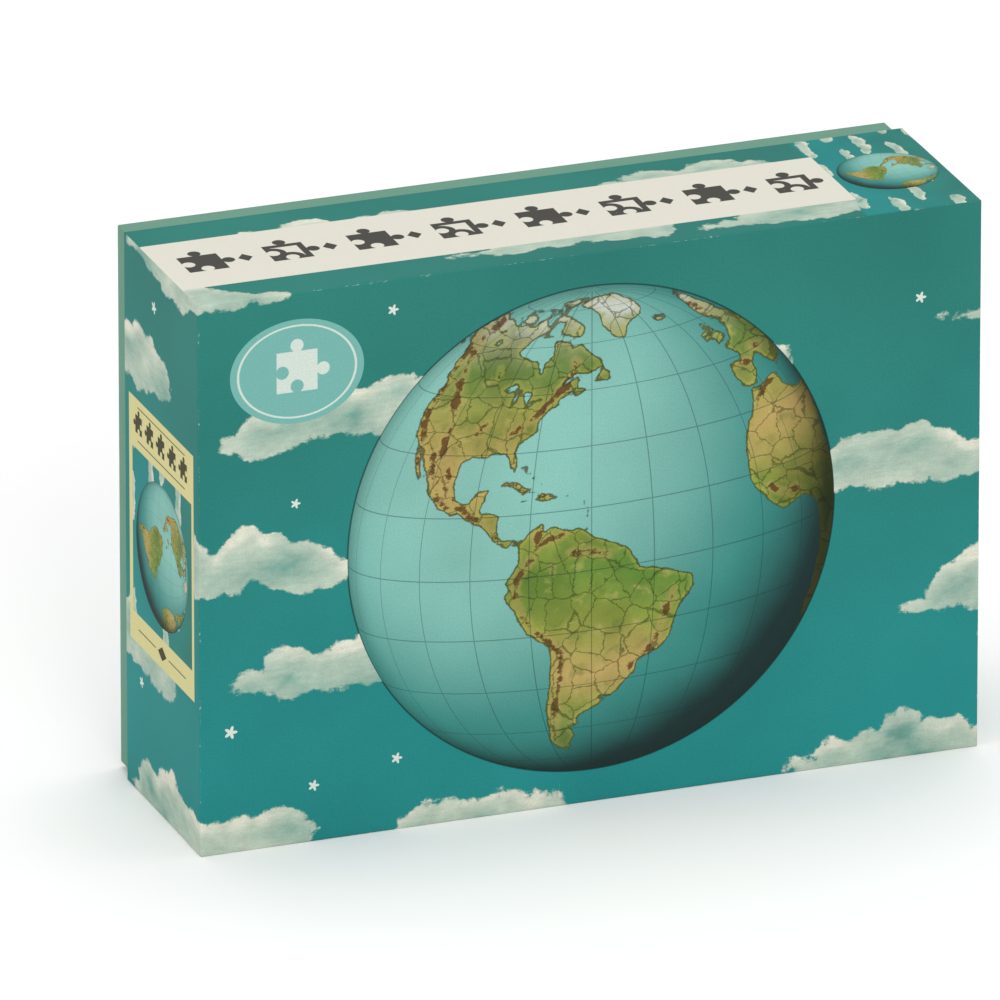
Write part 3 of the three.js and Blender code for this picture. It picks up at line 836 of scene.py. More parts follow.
def drawn(s, distance, blur=INK_BLUR):
    """1 inside a shape, from the signed distance to its edge."""
    return s.ease(distance, -blur, blur)


def oblong(s, x, z, low, high):
    """1 inside an upright rectangle."""
    middle = [(a + b) / 2 for a, b in zip(low, high)]
    off_x = abs(x - middle[0]) - (high[0] - low[0]) / 2
    off_z = abs(z - middle[1]) - (high[1] - low[1]) / 2
    return s.ease(s.larger(off_x, off_z), INK_BLUR, -INK_BLUR)


def jigsaw_piece(s, x, z, size):
    """Signed distance to a plain jigsaw piece about `size` across, positive inside."""
    half, knob, reach = 0.36, 0.115, 0.1
    neck_half_width, neck_reach = 0.065, 0.1
    u, v = x / size, z / size
    shape = s.smaller(half - abs(u), half - abs(v))
    for along, across in ((u, v), (v, u)):
        shape = s.larger(shape, knob - s.length(along, across - (half + reach)))
        neck = s.smaller(neck_half_width - abs(along), neck_reach - abs(across - half))
        shape = s.larger(shape, neck)
        shape = s.smaller(shape, s.length(along, across + (half - reach)) - knob)
    return shape * size


def band_ornaments(s, x, over):
    """1 on the band's row of jigsaw pieces, every second one outlined, with lozenges between."""
    up = over - BAND_MIDDLE
    piece = jigsaw_piece(s, s.repeated(x, BAND_STEP, 0.5), up, BAND_PIECE_SIZE)
    outline = BAND_OUTLINE - abs(piece - BAND_OUTLINE)
    is_outlined = s.math("GREATER_THAN", s.math("FRACT", x / (2 * BAND_STEP)), 0.5)
    piece = piece + (outline - piece) * is_outlined
    lozenge = LOZENGE - abs(s.repeated(x, BAND_STEP)) * 1.3 - abs(up)
    between = oblong(s, x, over, (BAND_STEP / 2, BAND_EDGES[0]),
                     (BAND_END - BAND_STEP / 2, BAND_EDGES[1]))
    return s.larger(drawn(s, piece), drawn(s, lozenge) * between)


def label_ornaments(s, across, z):
    """1 on an end label's row of jigsaw pieces, its thin rules and its lozenge."""
    from_middle = across - LABEL_MIDDLE
    piece = jigsaw_piece(s, s.repeated(from_middle, LABEL_STEP), z - LABEL_ROW_HEIGHT,
                         LABEL_PIECE_SIZE)
    reach = LABEL_STEP * LABEL_PIECES / 2
    row = oblong(s, abs(from_middle), z, (WHOLE, LABEL_RULES[0]), (reach, LABEL_RULES[1]))
    marks = [drawn(s, piece, FINE_INK_BLUR) * row]
    for start, height in ((WHOLE, LABEL_RULES[0]), (WHOLE, LABEL_RULES[1]), (RULE_GAP, LABEL_FOOT)):
        low, high = (start, height - RULE_HALF), (RULE_REACH, height + RULE_HALF)
        marks.append(oblong(s, abs(from_middle), z, low, high))
    marks.append(drawn(s, FOOT_LOZENGE - abs(from_middle) * 0.6 - abs(z - LABEL_FOOT)))
    return s.larger(*marks)


STAR_SEED, STAR_COUNT = 8, 9
STAR_POINTS = 5
STAR_CORE, STAR_POINT = 0.42, 0.58  # how far the core and the points reach, as shares of its size
STAR_BLUR = 0.15
STAR_SIZES = (1.6, 2.4)
STAR_MARGIN = 8.0  # between a star and the globe, the medallion or a fold
STAR_CLOUD_GAP = -5.0


def make_stars():
    """Small stars at random in the clear sky of the front and the two sides."""
    chance = np.random.default_rng(STAR_SEED)
    stars = []
    while len(stars) < STAR_COUNT:
        x = chance.uniform(STAR_MARGIN - LID_DEPTH, PANEL_WIDTH + LID_DEPTH - STAR_MARGIN)
        z = chance.uniform(STAR_MARGIN, PANEL_HEIGHT - STAR_MARGIN)
        size = chance.uniform(*STAR_SIZES)
        off_globe = math.dist((x, z), GLOBE_CENTRE) > GLOBE_RADIUS + STAR_MARGIN
        off_medallion = math.dist((x, z), MEDALLION_CENTRE) > MEDALLION_HALF[0] + STAR_MARGIN
        off_folds = min(abs(x), abs(x - PANEL_WIDTH)) > STAR_MARGIN
        is_clear = cloud_cover(np.array(x), np.array(z)) < STAR_CLOUD_GAP
        if off_globe and off_medallion and off_folds and is_clear:
            stars.append(((x, z), size))
    return stars


def star(s, x, z, centre, size):
    """1 on a small pointed star."""
    dx, dz = x - centre[0], z - centre[1]
    radius = s.length(dx, dz)
    angle = s.math("ARCTAN2", dz, dx)
    point = s.math("POWER", abs(s.math("COSINE", angle * (STAR_POINTS / 2))), 2.0)
    return s.ease(radius - size * STAR_CORE - point * (size * STAR_POINT), STAR_BLUR, -STAR_BLUR)


GRASS, STEPPE, SHORE, FOOTHILLS = (104, 130, 62), (192, 184, 110), (186, 188, 88), (196, 172, 104)
RIDGES, BORDERS, COAST_LINE = (98, 58, 34), (62, 70, 34), (64, 66, 36)
NIGHT_LAND, NIGHT_RIDGES = (34, 36, 24), (86, 62, 40)
GRATICULE_LINE, LIMB_SHADE, LIMB_LINE = (34, 58, 56), (34, 46, 40), (30, 52, 50)
BORDER_CELL = 8.0
WHITE, MEDALLION_GREEN = (228, 238, 228), (126, 190, 181)
MEDALLION_LINE, MEDALLION_LINE_BLUR = 0.88, (0.022, 0.012)  # as shares of the oval
BAND_CREAM, LABEL_YELLOW, ORNAMENT_INK = (236, 233, 219), (228, 220, 158), (30, 30, 28)
WORN_PRINT, BARE_PAPER = (222, 219, 206), (226, 222, 210)
LINEN_PITCH, LINEN_RELIEF = 1.1, 0.00004


def linen_paper(s, sheet, grain):
    """Embosses linen on the material. Returns the weave, and the wear where folded edges rub."""
    x, z, _ = s.parts(sheet)
    linen = weave(s, x + grain * 0.25, z + grain * 0.25, LINEN_PITCH)
    s.bump(linen + grain * 0.5, LINEN_RELIEF, 0.6)
    worn = s.ease(s.attribute("edge") + s.noise(sheet, 9.0, 4.0) * 3.2, 0.2, -0.3)
    return linen, worn * s.ease(s.noise(sheet, 1.2, 3.0), 0.0, 0.18)


def printed_land(s, coast, ranges, wander, strokes):
    """The land's colour, with patches, mountain ranges, borders and the night side."""
    patches = s.noise(wander, 6.0, 4.0)
    land = s.inked(s.ease(patches, 0.02, 0.18) * 0.5, s.attribute("land_paint", "Color"), GRASS)
    land = s.inked(s.ease(patches, -0.05, -0.2) * 0.5, land, STEPPE)
    land = s.inked(s.ease(coast, 2.0, 0.5) * 0.3, land, SHORE)
    land = s.inked(s.ease(ranges, 2.6, 0.8) * 0.4, land, FOOTHILLS)
    ridge = s.ease(ranges + patches * 4.0 + strokes * 2.0, 0.9, 0.2)
    land = s.inked(ridge * 0.85, land, RIDGES)
    borders = s.ease(s.cells(wander, BORDER_CELL), 0.26, 0.12)
    land = s.inked(borders * 0.6, land, BORDERS)
    dark_land = s.inked(ridge * 0.5, rgba(NIGHT_LAND), NIGHT_RIDGES)
    return s.mix(s.attribute("night") * 0.9, land, dark_land)


def printed_picture(s, art, broad, fine):
    """The picture: the globe in front of its sky and clouds."""
    art_x, art_z, _ = s.parts(art)
    strokes = s.noise(s.vector(art_x * 0.35, art_z * 1.4), 2.0, 5.0, 0.65)
    wander = s.vector(art_x + fine * 5.0, art_z + broad * 7.0)
    limb = s.attribute("limb")
    globe_share = s.ease(limb, -0.15, 0.15)
    colour = s.mix(globe_share, s.attribute("sky_paint", "Color"),
                   s.attribute("sea_paint", "Color"))

    coast = s.attribute("coast") + fine * 2.4
    ranges = s.attribute("ranges") + fine * 5.0 + broad * 2.5
    land = printed_land(s, coast, ranges, wander, strokes)
    colour = s.mix(s.ease(coast, -0.15, 0.15) * globe_share, colour, land)
    outline = s.ease(abs(coast - 0.1), 0.42, 0.16) * globe_share
    outline = outline * (1.0 - s.attribute("night") * 0.6)
    colour = s.inked(outline * 0.75, colour, COAST_LINE)
    colour = s.inked(graticule(s) * s.ease(limb, 0.0, 0.6) * 0.5, colour, GRATICULE_LINE)
    colour = s.inked(s.ease(limb, 6.0, 0.0) * globe_share * 0.25, colour, LIMB_SHADE)
    colour = s.inked(s.ease(abs(limb), 0.42, 0.14) * 0.75, colour, LIMB_LINE)

    cover = s.attribute("cover") + broad * 8.0 + fine * 4.0 + strokes * 1.5
    cloud_share = s.ease(cover, 0.0, 1.2) * (1.0 - globe_share)
    mottle = 1.0 + broad * 0.35 + strokes * 0.45 + fine * 0.3
    cloud = s.brighten(s.attribute("cloud_paint", "Color"), mottle)
    return s.mix(cloud_share, colour, cloud)


def with_stars_and_medallion(s, colour, x, z):
    star_share = s.larger(*[star(s, x, z, centre, size) for centre, size in make_stars()])
    colour = s.inked(star_share, colour, WHITE)
    dx, dz = x - MEDALLION_CENTRE[0], z - MEDALLION_CENTRE[1]
    oval = s.length(dx / MEDALLION_HALF[0], dz / MEDALLION_HALF[1])
    colour = s.inked(s.ease(oval, 1.004, 0.996), colour, MEDALLION_GREEN)
    oval_line = s.ease(abs(oval - MEDALLION_LINE), *MEDALLION_LINE_BLUR)
    piece_share = drawn(s, jigsaw_piece(s, dx, dz, MEDALLION_PIECE))
    return s.inked(s.larger(oval_line, piece_share) * 0.9, colour, WHITE)


def with_band_and_labels(s, colour, x, z, fine):
    """Lays the band on the upper side and the label on each end over a colour."""
    across = s.larger(x * -1.0, x - PANEL_WIDTH)
    over = s.larger(z * -1.0, z - PANEL_HEIGHT)
    band = oblong(s, x, over, (BAND_START, BAND_EDGES[0]), (BAND_END, BAND_EDGES[1]))
    colour = s.mix(band, colour, s.brighten(rgba(BAND_CREAM), 1.0 + fine * 0.06))
    label, window = [
        oblong(s, across, z, *zip(edges, heights))
        for edges, heights in ((LABEL_EDGES, LABEL_HEIGHTS), (PICTURE_EDGES, PICTURE_HEIGHTS))
    ]
    frame_share = label * (1.0 - window)
    colour = s.mix(frame_share, colour, s.brighten(rgba(LABEL_YELLOW), 1.0 + fine * 0.12))
    ink = s.larger(band_ornaments(s, x, over) * band, label_ornaments(s, across, z) * frame_share)
    return s.inked(ink * 0.92, colour, ORNAMENT_INK)


def print_material():
    """The picture and the labels, printed on matt-laminated linen paper."""
    s = Shader("printed_linen_paper", Roughness=0.5, IOR=1.46, Specular_IOR_Level=0.03)
    art, sheet = s.attribute("art", "Vector"), s.attribute("sheet", "Vector")
    x, z, _ = s.parts(sheet)
    broad, fine = s.noise(art, 12.0, 4.0, 0.6), s.noise(art, 3.2, 6.0, 0.65)
    grain, speckle = s.noise(art, 0.7, 2.0), s.noise(sheet, 0.4, 2.0)
    colour = printed_picture(s, art, broad, fine)
    colour = with_stars_and_medallion(s, colour, x, z)
    colour = with_band_and_labels(s, colour, x, z, fine)
    linen, worn = linen_paper(s, sheet, grain)
    colour = s.brighten(colour, 1.0 + grain * 0.2 + speckle * 0.3 + (linen - 0.3) * 0.14)
    colour = s.inked(worn * 0.6, colour, WORN_PRINT)
    bare = s.attribute("bare")
    colour = s.inked(bare, colour, BARE_PAPER)
    return s.finish(colour, 0.46 + worn * 0.3 + bare * 0.3 + grain * 0.12)


def print_fields(art_x, art_z, sheet_x, sheet_z, edge, bare):
    """The print's fields, from places in the picture and on the sheet, the distance to the folds
    and the share that is bare paper."""
    fields = picture_fields(art_x, art_z)
    fields["art"] = flat(art_x, art_z)
    fields["sheet"] = flat(sheet_x, sheet_z)
    fields["edge"] = art_x * 0 + edge
    fields["bare"] = art_x * 0 + bare
    return fields


def distance_to_folds(places, width, height, depth):
    """Distance from each place on a tray's sheet to its nearest folded edge."""
    x, z = places[:, 0], places[:, 1]
    across = np.maximum(-x, x - width)
    over = np.maximum(-z, z - height)
    around = np.maximum(across, over)
    to_panel_edge = abs(around)
    from_end = np.where(across > over, np.minimum(z, height - z), np.minimum(x, width - x))
    inside_panel = np.minimum(np.minimum(x, width - x), np.minimum(z, height - z))
    on_side = np.minimum(np.minimum(to_panel_edge, abs(from_end)), abs(around - depth))
    return np.where(around > 0, on_side, inside_panel)


PRINT = print_material()


def make_lid_wrap():
    wrap, places, corners = make_wrap("lid_printed_wrap", LID_LOW, LID_HIGH, PRINT_GRID, True)
    edge = distance_to_folds(places, PANEL_WIDTH, PANEL_HEIGHT, LID_DEPTH)
    x, z = places.T
    store_print(wrap, print_fields(*picture_place(x, z), x, z, edge, 0), corners)
    wrap.data.materials.append(PRINT)
    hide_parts("lid_wrap")
    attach(wrap, "lid")


make_lid_wrap()


# ---- The base's wrap ------------------------------------------------------------------------


SAGE_DARK, SAGE_LIGHT, WORN_SAGE = (116, 162, 142), (121, 166, 146), (216, 220, 206)


def base_wrap_material():
    """Plain sage-green linen paper."""
    s = Shader("sage_linen_paper", Roughness=0.6, IOR=1.45, Specular_IOR_Level=0.03)
    sheet = s.attribute("sheet", "Vector")
    grain = s.noise(sheet, 0.7, 3.0)
    colour = s.mottled(s.noise(sheet, 22.0, 3.0), SAGE_DARK, SAGE_LIGHT)
    linen, worn = linen_paper(s, sheet, grain)
    colour = s.brighten(colour, 1.0 + grain * 0.14 + (linen - 0.3) * 0.12)
    colour = s.inked(worn * 0.6, colour, WORN_SAGE)
    return s.finish(colour, 0.56 + worn * 0.2 + grain * 0.12)


def make_base_wrap():
    wrap, places, corners = make_wrap("base_green_wrap", BASE_LOW, BASE_HIGH, PLAIN_GRID, False)
    width, depth, height = BASE_HIGH - BASE_LOW
    fields = {"sheet": flat(*places.T), "edge": distance_to_folds(places, width, height, depth)}
    store_print(wrap, fields, corners)
    wrap.data.materials.append(base_wrap_material())
    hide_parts("base_wrap")
    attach(wrap, "base")


make_base_wrap()


# ---- Board and corner stays -----------------------------------------------------------------


def object_millimetres(s):
    """Each point's own place on its object, in millimetres."""
    node = s.nodes.new("ShaderNodeTexCoord")
    x, y, z = s.parts(Wire(s, node.outputs["Object"]))
    return s.vector(x / MM, y / MM, z / MM)


def greyboard_material():
    """Unlined recycled board: warm grey, with short fibres and flecks."""
    s = Shader("greyboard", Roughness=0.92, Specular_IOR_Level=0.2)
    place = object_millimetres(s)
    cloudy = s.noise(place, 14.0, 4.0)
    fibre = s.noise(place, 0.8, 6.0, 0.75)
    flecks = s.ease(s.noise(place, 1.1, 2.0), 0.2, 0.26)
    pale_flecks = s.ease(s.noise(place, 0.9, 2.0), -0.2, -0.26)
    colour = s.mottled(cloudy, (158, 149, 134), (172, 164, 150))
    colour = s.brighten(colour, 1.0 + fibre * 0.5)
    colour = s.inked(flecks * 0.5, colour, (96, 90, 80))
    colour = s.inked(pale_flecks * 0.5, colour, (206, 200, 188))
    s.bump(fibre, 0.00008, 0.5)
    return s.finish(colour, 0.9 + fibre * 0.1)


def stay_material():
    """Gummed paper tape, with long pulp fibres and a slight gloss."""
    s = Shader("gummed_paper", Roughness=0.75, Specular_IOR_Level=0.3)
    place = object_millimetres(s)
    x, y, z = s.parts(place)
    fibre = s.noise(s.vector(x, y * 0.2, z), 0.6, 5.0, 0.7)
    cloudy = s.noise(place, 5.0, 3.0)
    colour = s.mottled(cloudy, (206, 196, 168), (222, 214, 190))
    s.bump(fibre, 0.00004, 0.5)
    return s.finish(s.brighten(colour, 1.0 + fibre * 0.25), 0.72 + fibre * 0.2)


CUT_EDGE_BEVEL = 0.06
STAYS_IN_A_TRAY = 4


def finish_node(name, material):
    """Gives a CAD node its looks: a material and a fine bevel on its cut edges."""
    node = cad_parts[name]
    node.data.materials.clear()
    node.data.materials.append(material)
    bevel = node.modifiers.new("cut_edge", "BEVEL")
    bevel.width = CUT_EDGE_BEVEL * MM
    bevel.segments = 2
    bevel.limit_method = "ANGLE"


def finish_trays():
    board, stay = greyboard_material(), stay_material()
    for tray in ("lid", "base"):
        finish_node(f"{tray}_board", board)
        for count in range(1, STAYS_IN_A_TRAY + 1):
            finish_node(f"{tray}_corner_stay_{count}", stay)


finish_trays()


# ---- Poster ---------------------------------------------------------------------------------


AWAY = 1000.0  # no label, band, star or medallion lies this far along the sheet
UNFOLDED = 30.0  # a distance to the folds at which the paper shows no wear


def joined_fields(*field_sets):
    """Several sets of print fields, one after the other."""
    return {name: np.concatenate([f[name] for f in field_sets]) for name in field_sets[0]}


def plain_fields(art_x, art_z, sheet_x, sheet_z, bare):
    """The print's fields away from the box: the picture only, with no label or medallion."""
    return print_fields(art_x, art_z, sheet_x + AWAY, sheet_z + AWAY, UNFOLDED, bare)


LEAF_COLUMNS, LEAF_ROWS = 71, 50
FOLD_CURL = (0.2, 0.4, 0.6, 0.8)  # in quarter turns from the fold, which is open by a hair
CROWN = 0.55  # how far a leaf's middle stands off its edges
RIPPLE, RIPPLE_SIZE, RIPPLE_SEED = 0.12, 60, 3
RIPPLE_STARTS = 20  # how far above the fold the ripple is full


def make_leaf(name, node, body, is_front):
    """One leaf of the folded poster. Its lower edge curls onto the fold, which both leaves share."""
    low, high = node_box(node)
    other_low, other_high = node_box("poster_back_leaf" if is_front else "poster_front_leaf")
    fold_y = (min(low[1], other_low[1]) + max(high[1], other_high[1])) / 2
    paper = high[1] - low[1]
    middle_y = (low[1] + high[1]) / 2
    reach = middle_y - fold_y
    radius = abs(reach)
    width, height = high[0] - low[0], high[2] - low[2]
    heights = [radius * (1 - math.cos(t * math.pi / 2)) for t in FOLD_CURL]
    heights += list(np.linspace(radius, height, LEAF_ROWS))
    toward = [math.sin(t * math.pi / 2) for t in FOLD_CURL] + [1.0] * LEAF_ROWS
    outward = -1 if is_front else 1
    u, w = np.meshgrid(np.linspace(0, 1, LEAF_COLUMNS), np.array(heights))
    turned = np.array(toward)[:, None] * np.ones(u.shape)
    crown = CROWN * np.sin(np.pi * u) * np.sin(np.pi * np.clip(w / height, 0, 1))
    ripple = RIPPLE * layered_noise(u * width, w, RIPPLE_SIZE, RIPPLE_SEED)
    ripple = ripple * ease(w, 0, RIPPLE_STARTS)
    y = fold_y + reach * turned + outward * (crown + ripple)
    x, z = low[0] + u * width, low[2] + w
    outer = np.stack([x, y + outward * paper / 2, z], -1)
    inner = np.stack([x, y - outward * paper / 2, z], -1)
    vertices, faces = two_sided_sheet(outer, inner)
    if not is_front:
        faces = [face[::-1] for face in faces]
    leaf = make_object(name, vertices, faces)
    shade_smooth(leaf)
    along = 0.5 + outward * w / (2 * height)
    art_x, art_z = (along * PANEL_WIDTH).ravel(), (u * PANEL_HEIGHT).ravel()
    fields = [plain_fields(art_x, art_z, x.ravel(), w.ravel(), bare) for bare in (0, 1)]
    corners = np.concatenate([np.array(face) for face in faces])
    store_print(leaf, joined_fields(*fields), corners)
    leaf.data.materials.append(PRINT)
    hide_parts(node)
    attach(leaf, body)


make_leaf("poster_front_sheet", "poster_front_leaf", "poster_leaf", True)
make_leaf("poster_back_sheet", "poster_back_leaf", "poster", False)


# ---- Film bag -------------------------------------------------------------------------------

BAG_LOW, BAG_HIGH = node_box("bag_film")
BAG_FULL_HEIGHT = 92.0
BAG_SEAL_HEIGHT = 146.0
BAG_VENTS = (-70.0, 70.0)
VENT_RADIUS = 2.5
VENT_OPENING = 1.6  # vertices this many radii from a vent's middle are taken out
VENT_RIM = 4  # and the open edge within this many radii is drawn to the vent's circle
BAG_CORNER = 9.0
BAG_CORNER_STEPS = 6
BAG_BACK_GAP = 0.2
SEAL_DEPTH = 0.35
BELOW_SEAL = (14, -9)  # where the slope starts, forward of the back and up from the seal
SHOULDER = (6, 3)  # where the slope ends, back from the front and up from the full height
FRONT_TOP = -8  # where the front is upright again, up from the full height
BAG_MIDDLE_HEIGHT = 62.0
BAG_AROUND, BAG_ALONG, BAG_END_STEPS, BAG_END_LENGTH = 110, 90, 6, 12
CRUMPLE_SIZE, CRUMPLE_SEED = 34, 91
CRUMPLE_SLANT = (0.7, -0.5)  # the shear of the creases' noise along x and z, per millimetre back
CRUMPLE_INSET = 0.6  # what is added to the noise, so that nearly all of it dents inwards
CRUMPLE_TAUT, CRUMPLE_SLACK = 0.35, 1.4  # depth where the bag is full, and extra depth above
SLACK_HEIGHTS = ((76, 100), (146, 132))  # where the slack starts from below and from above
FILM_THICKNESS = 0.05


def film_material():
    """Clear polypropylene film: glossy, faintly milky, with fine creases."""
    s = Shader("clear_film", Roughness=0.16, IOR=1.49, Specular_IOR_Level=0.6)
    place = object_millimetres(s)
    crease = abs(s.noise(place, 16.0, 5.0, 0.6))
    fine = s.noise(place, 3.0, 3.0)
    rim = s.nodes.new("ShaderNodeLayerWeight")
    rim.inputs["Blend"].default_value = 0.35
    edge_on = Wire(s, rim.outputs["Facing"])
    s.set(s.bsdf.inputs["Alpha"], 0.05 + edge_on * 0.22 + s.ease(crease, 0.025, 0.0) * 0.1)
    s.bump(crease * 2.0 + fine * 0.15, 0.0012, 0.8)
    return s.finish(rgba((226, 232, 234)), 0.14 + fine * 0.1)


def bag_section(count):
    """Points round the bag's section in y and z: full below, then closing to the seal."""
    front, back, bottom = BAG_LOW[1], BAG_HIGH[1] - BAG_BACK_GAP, BAG_LOW[2]
    outline = []
    for (cy, start) in ((front + BAG_CORNER, 180), (back - BAG_CORNER, 270)):
        for step in range(BAG_CORNER_STEPS + 1):
            angle = math.radians(start + 90 / BAG_CORNER_STEPS * step)
            outline.append((cy + BAG_CORNER * math.cos(angle),
                            bottom + BAG_CORNER + BAG_CORNER * math.sin(angle)))
    outline += [
        (back, BAG_SEAL_HEIGHT),
        (back - SEAL_DEPTH, BAG_SEAL_HEIGHT),
        (back - BELOW_SEAL[0], BAG_SEAL_HEIGHT + BELOW_SEAL[1]),
        (front + SHOULDER[0], BAG_FULL_HEIGHT + SHOULDER[1]),
        (front, BAG_FULL_HEIGHT + FRONT_TOP),
    ]
    outline = np.array([*outline, outline[0]])
    lengths = np.hypot(*np.diff(outline, axis=0).T)
    travelled = np.concatenate([[0], np.cumsum(lengths)])
    wanted = np.linspace(0, travelled[-1], count, endpoint=False)
    return np.stack([np.interp(wanted, travelled, outline[:, axis]) for axis in (0, 1)], -1)


def make_bag():
    """The bag: one tube of film, drawn in at both ends, with small sags and creases."""
    section = bag_section(BAG_AROUND)
    centre = np.array([(BAG_LOW[1] + BAG_HIGH[1]) / 2, BAG_MIDDLE_HEIGHT])
    half = BAG_HIGH[0]
    round_off = np.sin(np.linspace(0, math.pi / 2, BAG_END_STEPS))
    ends = half - BAG_CORNER * (1 - round_off)
    straight = np.linspace(-half + BAG_END_LENGTH, half - BAG_END_LENGTH, BAG_ALONG)[1:-1]
    xs = np.sort(np.concatenate([-ends, straight, ends]))
    rings = []
    for x in xs:
        from_end = max(0.0, abs(x) - (half - BAG_CORNER)) / BAG_CORNER
        shrink = BAG_CORNER * (1 - math.sqrt(max(0.0, 1 - from_end**2)))
        away = section - centre
        reach = np.maximum(np.linalg.norm(away, axis=1, keepdims=True), TINY)
        ring = section - away / reach * shrink
        rings.append(np.column_stack([np.full(len(ring), x), ring]))
    grid = np.array(rings)
    x, y, z = grid[..., 0], grid[..., 1], grid[..., 2]
    slant_x, slant_z = (y * slant for slant in CRUMPLE_SLANT)
    crumple = layered_noise(x + slant_x, z + slant_z, CRUMPLE_SIZE, CRUMPLE_SEED)
    slack = ease(z, *SLACK_HEIGHTS[0]) * ease(z, *SLACK_HEIGHTS[1])
    depth = CRUMPLE_TAUT + CRUMPLE_SLACK * slack
    inward = np.stack([x * 0, centre[0] - y, centre[1] - z], -1)
    inward /= np.maximum(np.linalg.norm(inward, axis=-1, keepdims=True), TINY)
    grid = grid + inward * (depth * (CRUMPLE_INSET + crumple))[..., None]
    count, around = grid.shape[:2]
    index = np.arange(count * around).reshape(count, around)
    beside = np.roll(index, -1, axis=1)
    quads = np.stack([index[:-1], index[1:], beside[1:], beside[:-1]], -1).reshape(-1, 4)
    vertices = grid.reshape(-1, 3)
    faces = [*quads.tolist(), index[0].tolist(), index[-1][::-1].tolist()]
    bag = make_object("bag_clear_film", vertices, faces)
    cut_vents(bag)
    shell = bag.modifiers.new("film_thickness", "SOLIDIFY")
    shell.thickness = FILM_THICKNESS * MM
    shell.offset = -1
    shade_smooth(bag, angle=60)
    bag.data.materials.append(film_material())
    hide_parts("bag_film")
    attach(bag, "bag")
    make_header(bag.data.materials[0])


def cut_vents(bag):
    """Round holes in the sloping front film, which let the air out."""
    slope_y = (BAG_LOW[1] + BAG_HIGH[1]) / 2
    slope_z = (BAG_FULL_HEIGHT + BAG_SEAL_HEIGHT) / 2
    mesh = bmesh.new()
    mesh.from_mesh(bag.data)
    for vent_x in BAG_VENTS:
        aim = Vector((vent_x, slope_y, slope_z)) * MM
        centre = min(mesh.verts, key=lambda v: (v.co - aim).length).co.copy()
        near = [v for v in mesh.verts if (v.co - centre).length < VENT_RADIUS * VENT_OPENING * MM]
        bmesh.ops.delete(mesh, geom=near, context="VERTS")
        rim = [v for v in mesh.verts if v.is_boundary]
        rim = [v for v in rim if (v.co - centre).length < VENT_RIM * VENT_RADIUS * MM]
        middle = sum((v.co for v in rim), Vector()) / len(rim)
        for vertex in rim:
            vertex.co = middle + (vertex.co - middle).normalized() * VENT_RADIUS * MM
    bmesh.ops.recalc_face_normals(mesh, faces=mesh.faces)
    mesh.to_mesh(bag.data)
    mesh.free()


HEADER_COLUMNS, HEADER_ROWS = 250, 16
HEADER_BACK_GAP, HEADER_THICKNESS, HEADER_SIDE_GAP = 0.25, 0.3, 0.5
HEADER_OVERLAP = 1  # how far it runs down past the seal
HEADER_TOOTH = 0.8
RIB_RELIEF, RIB_PITCH = 0.12, 1.6
RIB_HEIGHTS = ((147, 148), (156, 155))  # where the ribs start from below and from above


def make_header(film):
    """The welded strip above the seal: fused film with pressed ribs and a pinked upper edge."""
    back = BAG_HIGH[1] - HEADER_BACK_GAP
    bottom = BAG_SEAL_HEIGHT - HEADER_OVERLAP
    side_low, side_high = BAG_LOW[0] + HEADER_SIDE_GAP, BAG_HIGH[0] - HEADER_SIDE_GAP
    xs = np.linspace(side_low, side_high, HEADER_COLUMNS + 1)
    x, share_up = np.meshgrid(xs, np.linspace(0, 1, HEADER_ROWS + 1))
    tooth = HEADER_TOOTH * (np.arange(HEADER_COLUMNS + 1) % 2)
    z = bottom + share_up * (BAG_HIGH[2] - bottom - tooth * (share_up == 1))
    ribs = RIB_RELIEF * np.sin(z * 2 * math.pi / RIB_PITCH)
    ribs = ribs * ease(z, *RIB_HEIGHTS[0]) * ease(z, *RIB_HEIGHTS[1])
    front_face = np.stack([x, back - HEADER_THICKNESS + ribs, z], -1)
    back_face = np.stack([x, back + ribs, z], -1)
    header = make_object("bag_header_weld", *two_sided_sheet(front_face, back_face))
    shade_smooth(header)
    header.data.materials.append(film)
    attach(header, "bag")


make_bag()


# ---- Jigsaw pieces --------------------------------------------------------------------------
# The same cuts, places and turns as the part's own pieces, with rounder knobs and pressed edges.

PUZZLE_WIDTH, PUZZLE_HEIGHT = 670.0, 489.0
COLUMNS, ROWS = 40, 25
CELL_WIDTH, CELL_HEIGHT = PUZZLE_WIDTH / COLUMNS, PUZZLE_HEIGHT / ROWS
PIECE_THICKNESS = 1.9
KNOB_RADIUS = 0.13 * CELL_WIDTH
KNOB_REACH = 0.175 * CELL_WIDTH
NECK_HALF_WIDTH, NECK_REACH = 0.07 * CELL_WIDTH, 0.05 * CELL_WIDTH
SHOULDER_HALF_WIDTH, SHOULDER_DIP = 0.15 * CELL_WIDTH, 0.015 * CELL_WIDTH
KNOB_START, KNOB_END = 215, -35
CLUMP_COLUMN, CLUMP_ROW = 17, 11
CLUMP_COLUMNS, CLUMP_ROWS = 3, 2
CLUMP_TILT, CLUMP_TURN = math.radians(4), math.radians(8)
PILE_HEIGHT = 70.0
LAYERS, LAYER_COLUMNS, LAYER_ROWS, LAYER_RISE = 3, 8, 2, 6.6
LAYER_CLEARANCE = 3.2  # room for the lower corners of the tilted pieces
FIRST_LAYER_HEIGHT = PILE_HEIGHT + LAYER_CLEARANCE
PLACE_SPACING = (30.8, 32.0)
MAX_TILT = 7
CLUMP_PLACES, THIRD_LAYER_PLACES = (3, 4), (0, 2, 5, 6)
COLUMN_SEED, ROW_SEED, TURN_SEED, TILT_SEEDS = 1, 51, 101, (151, 201)
MIDDLE_Y = (BAG_LOW[1] + BAG_HIGH[1]) / 2


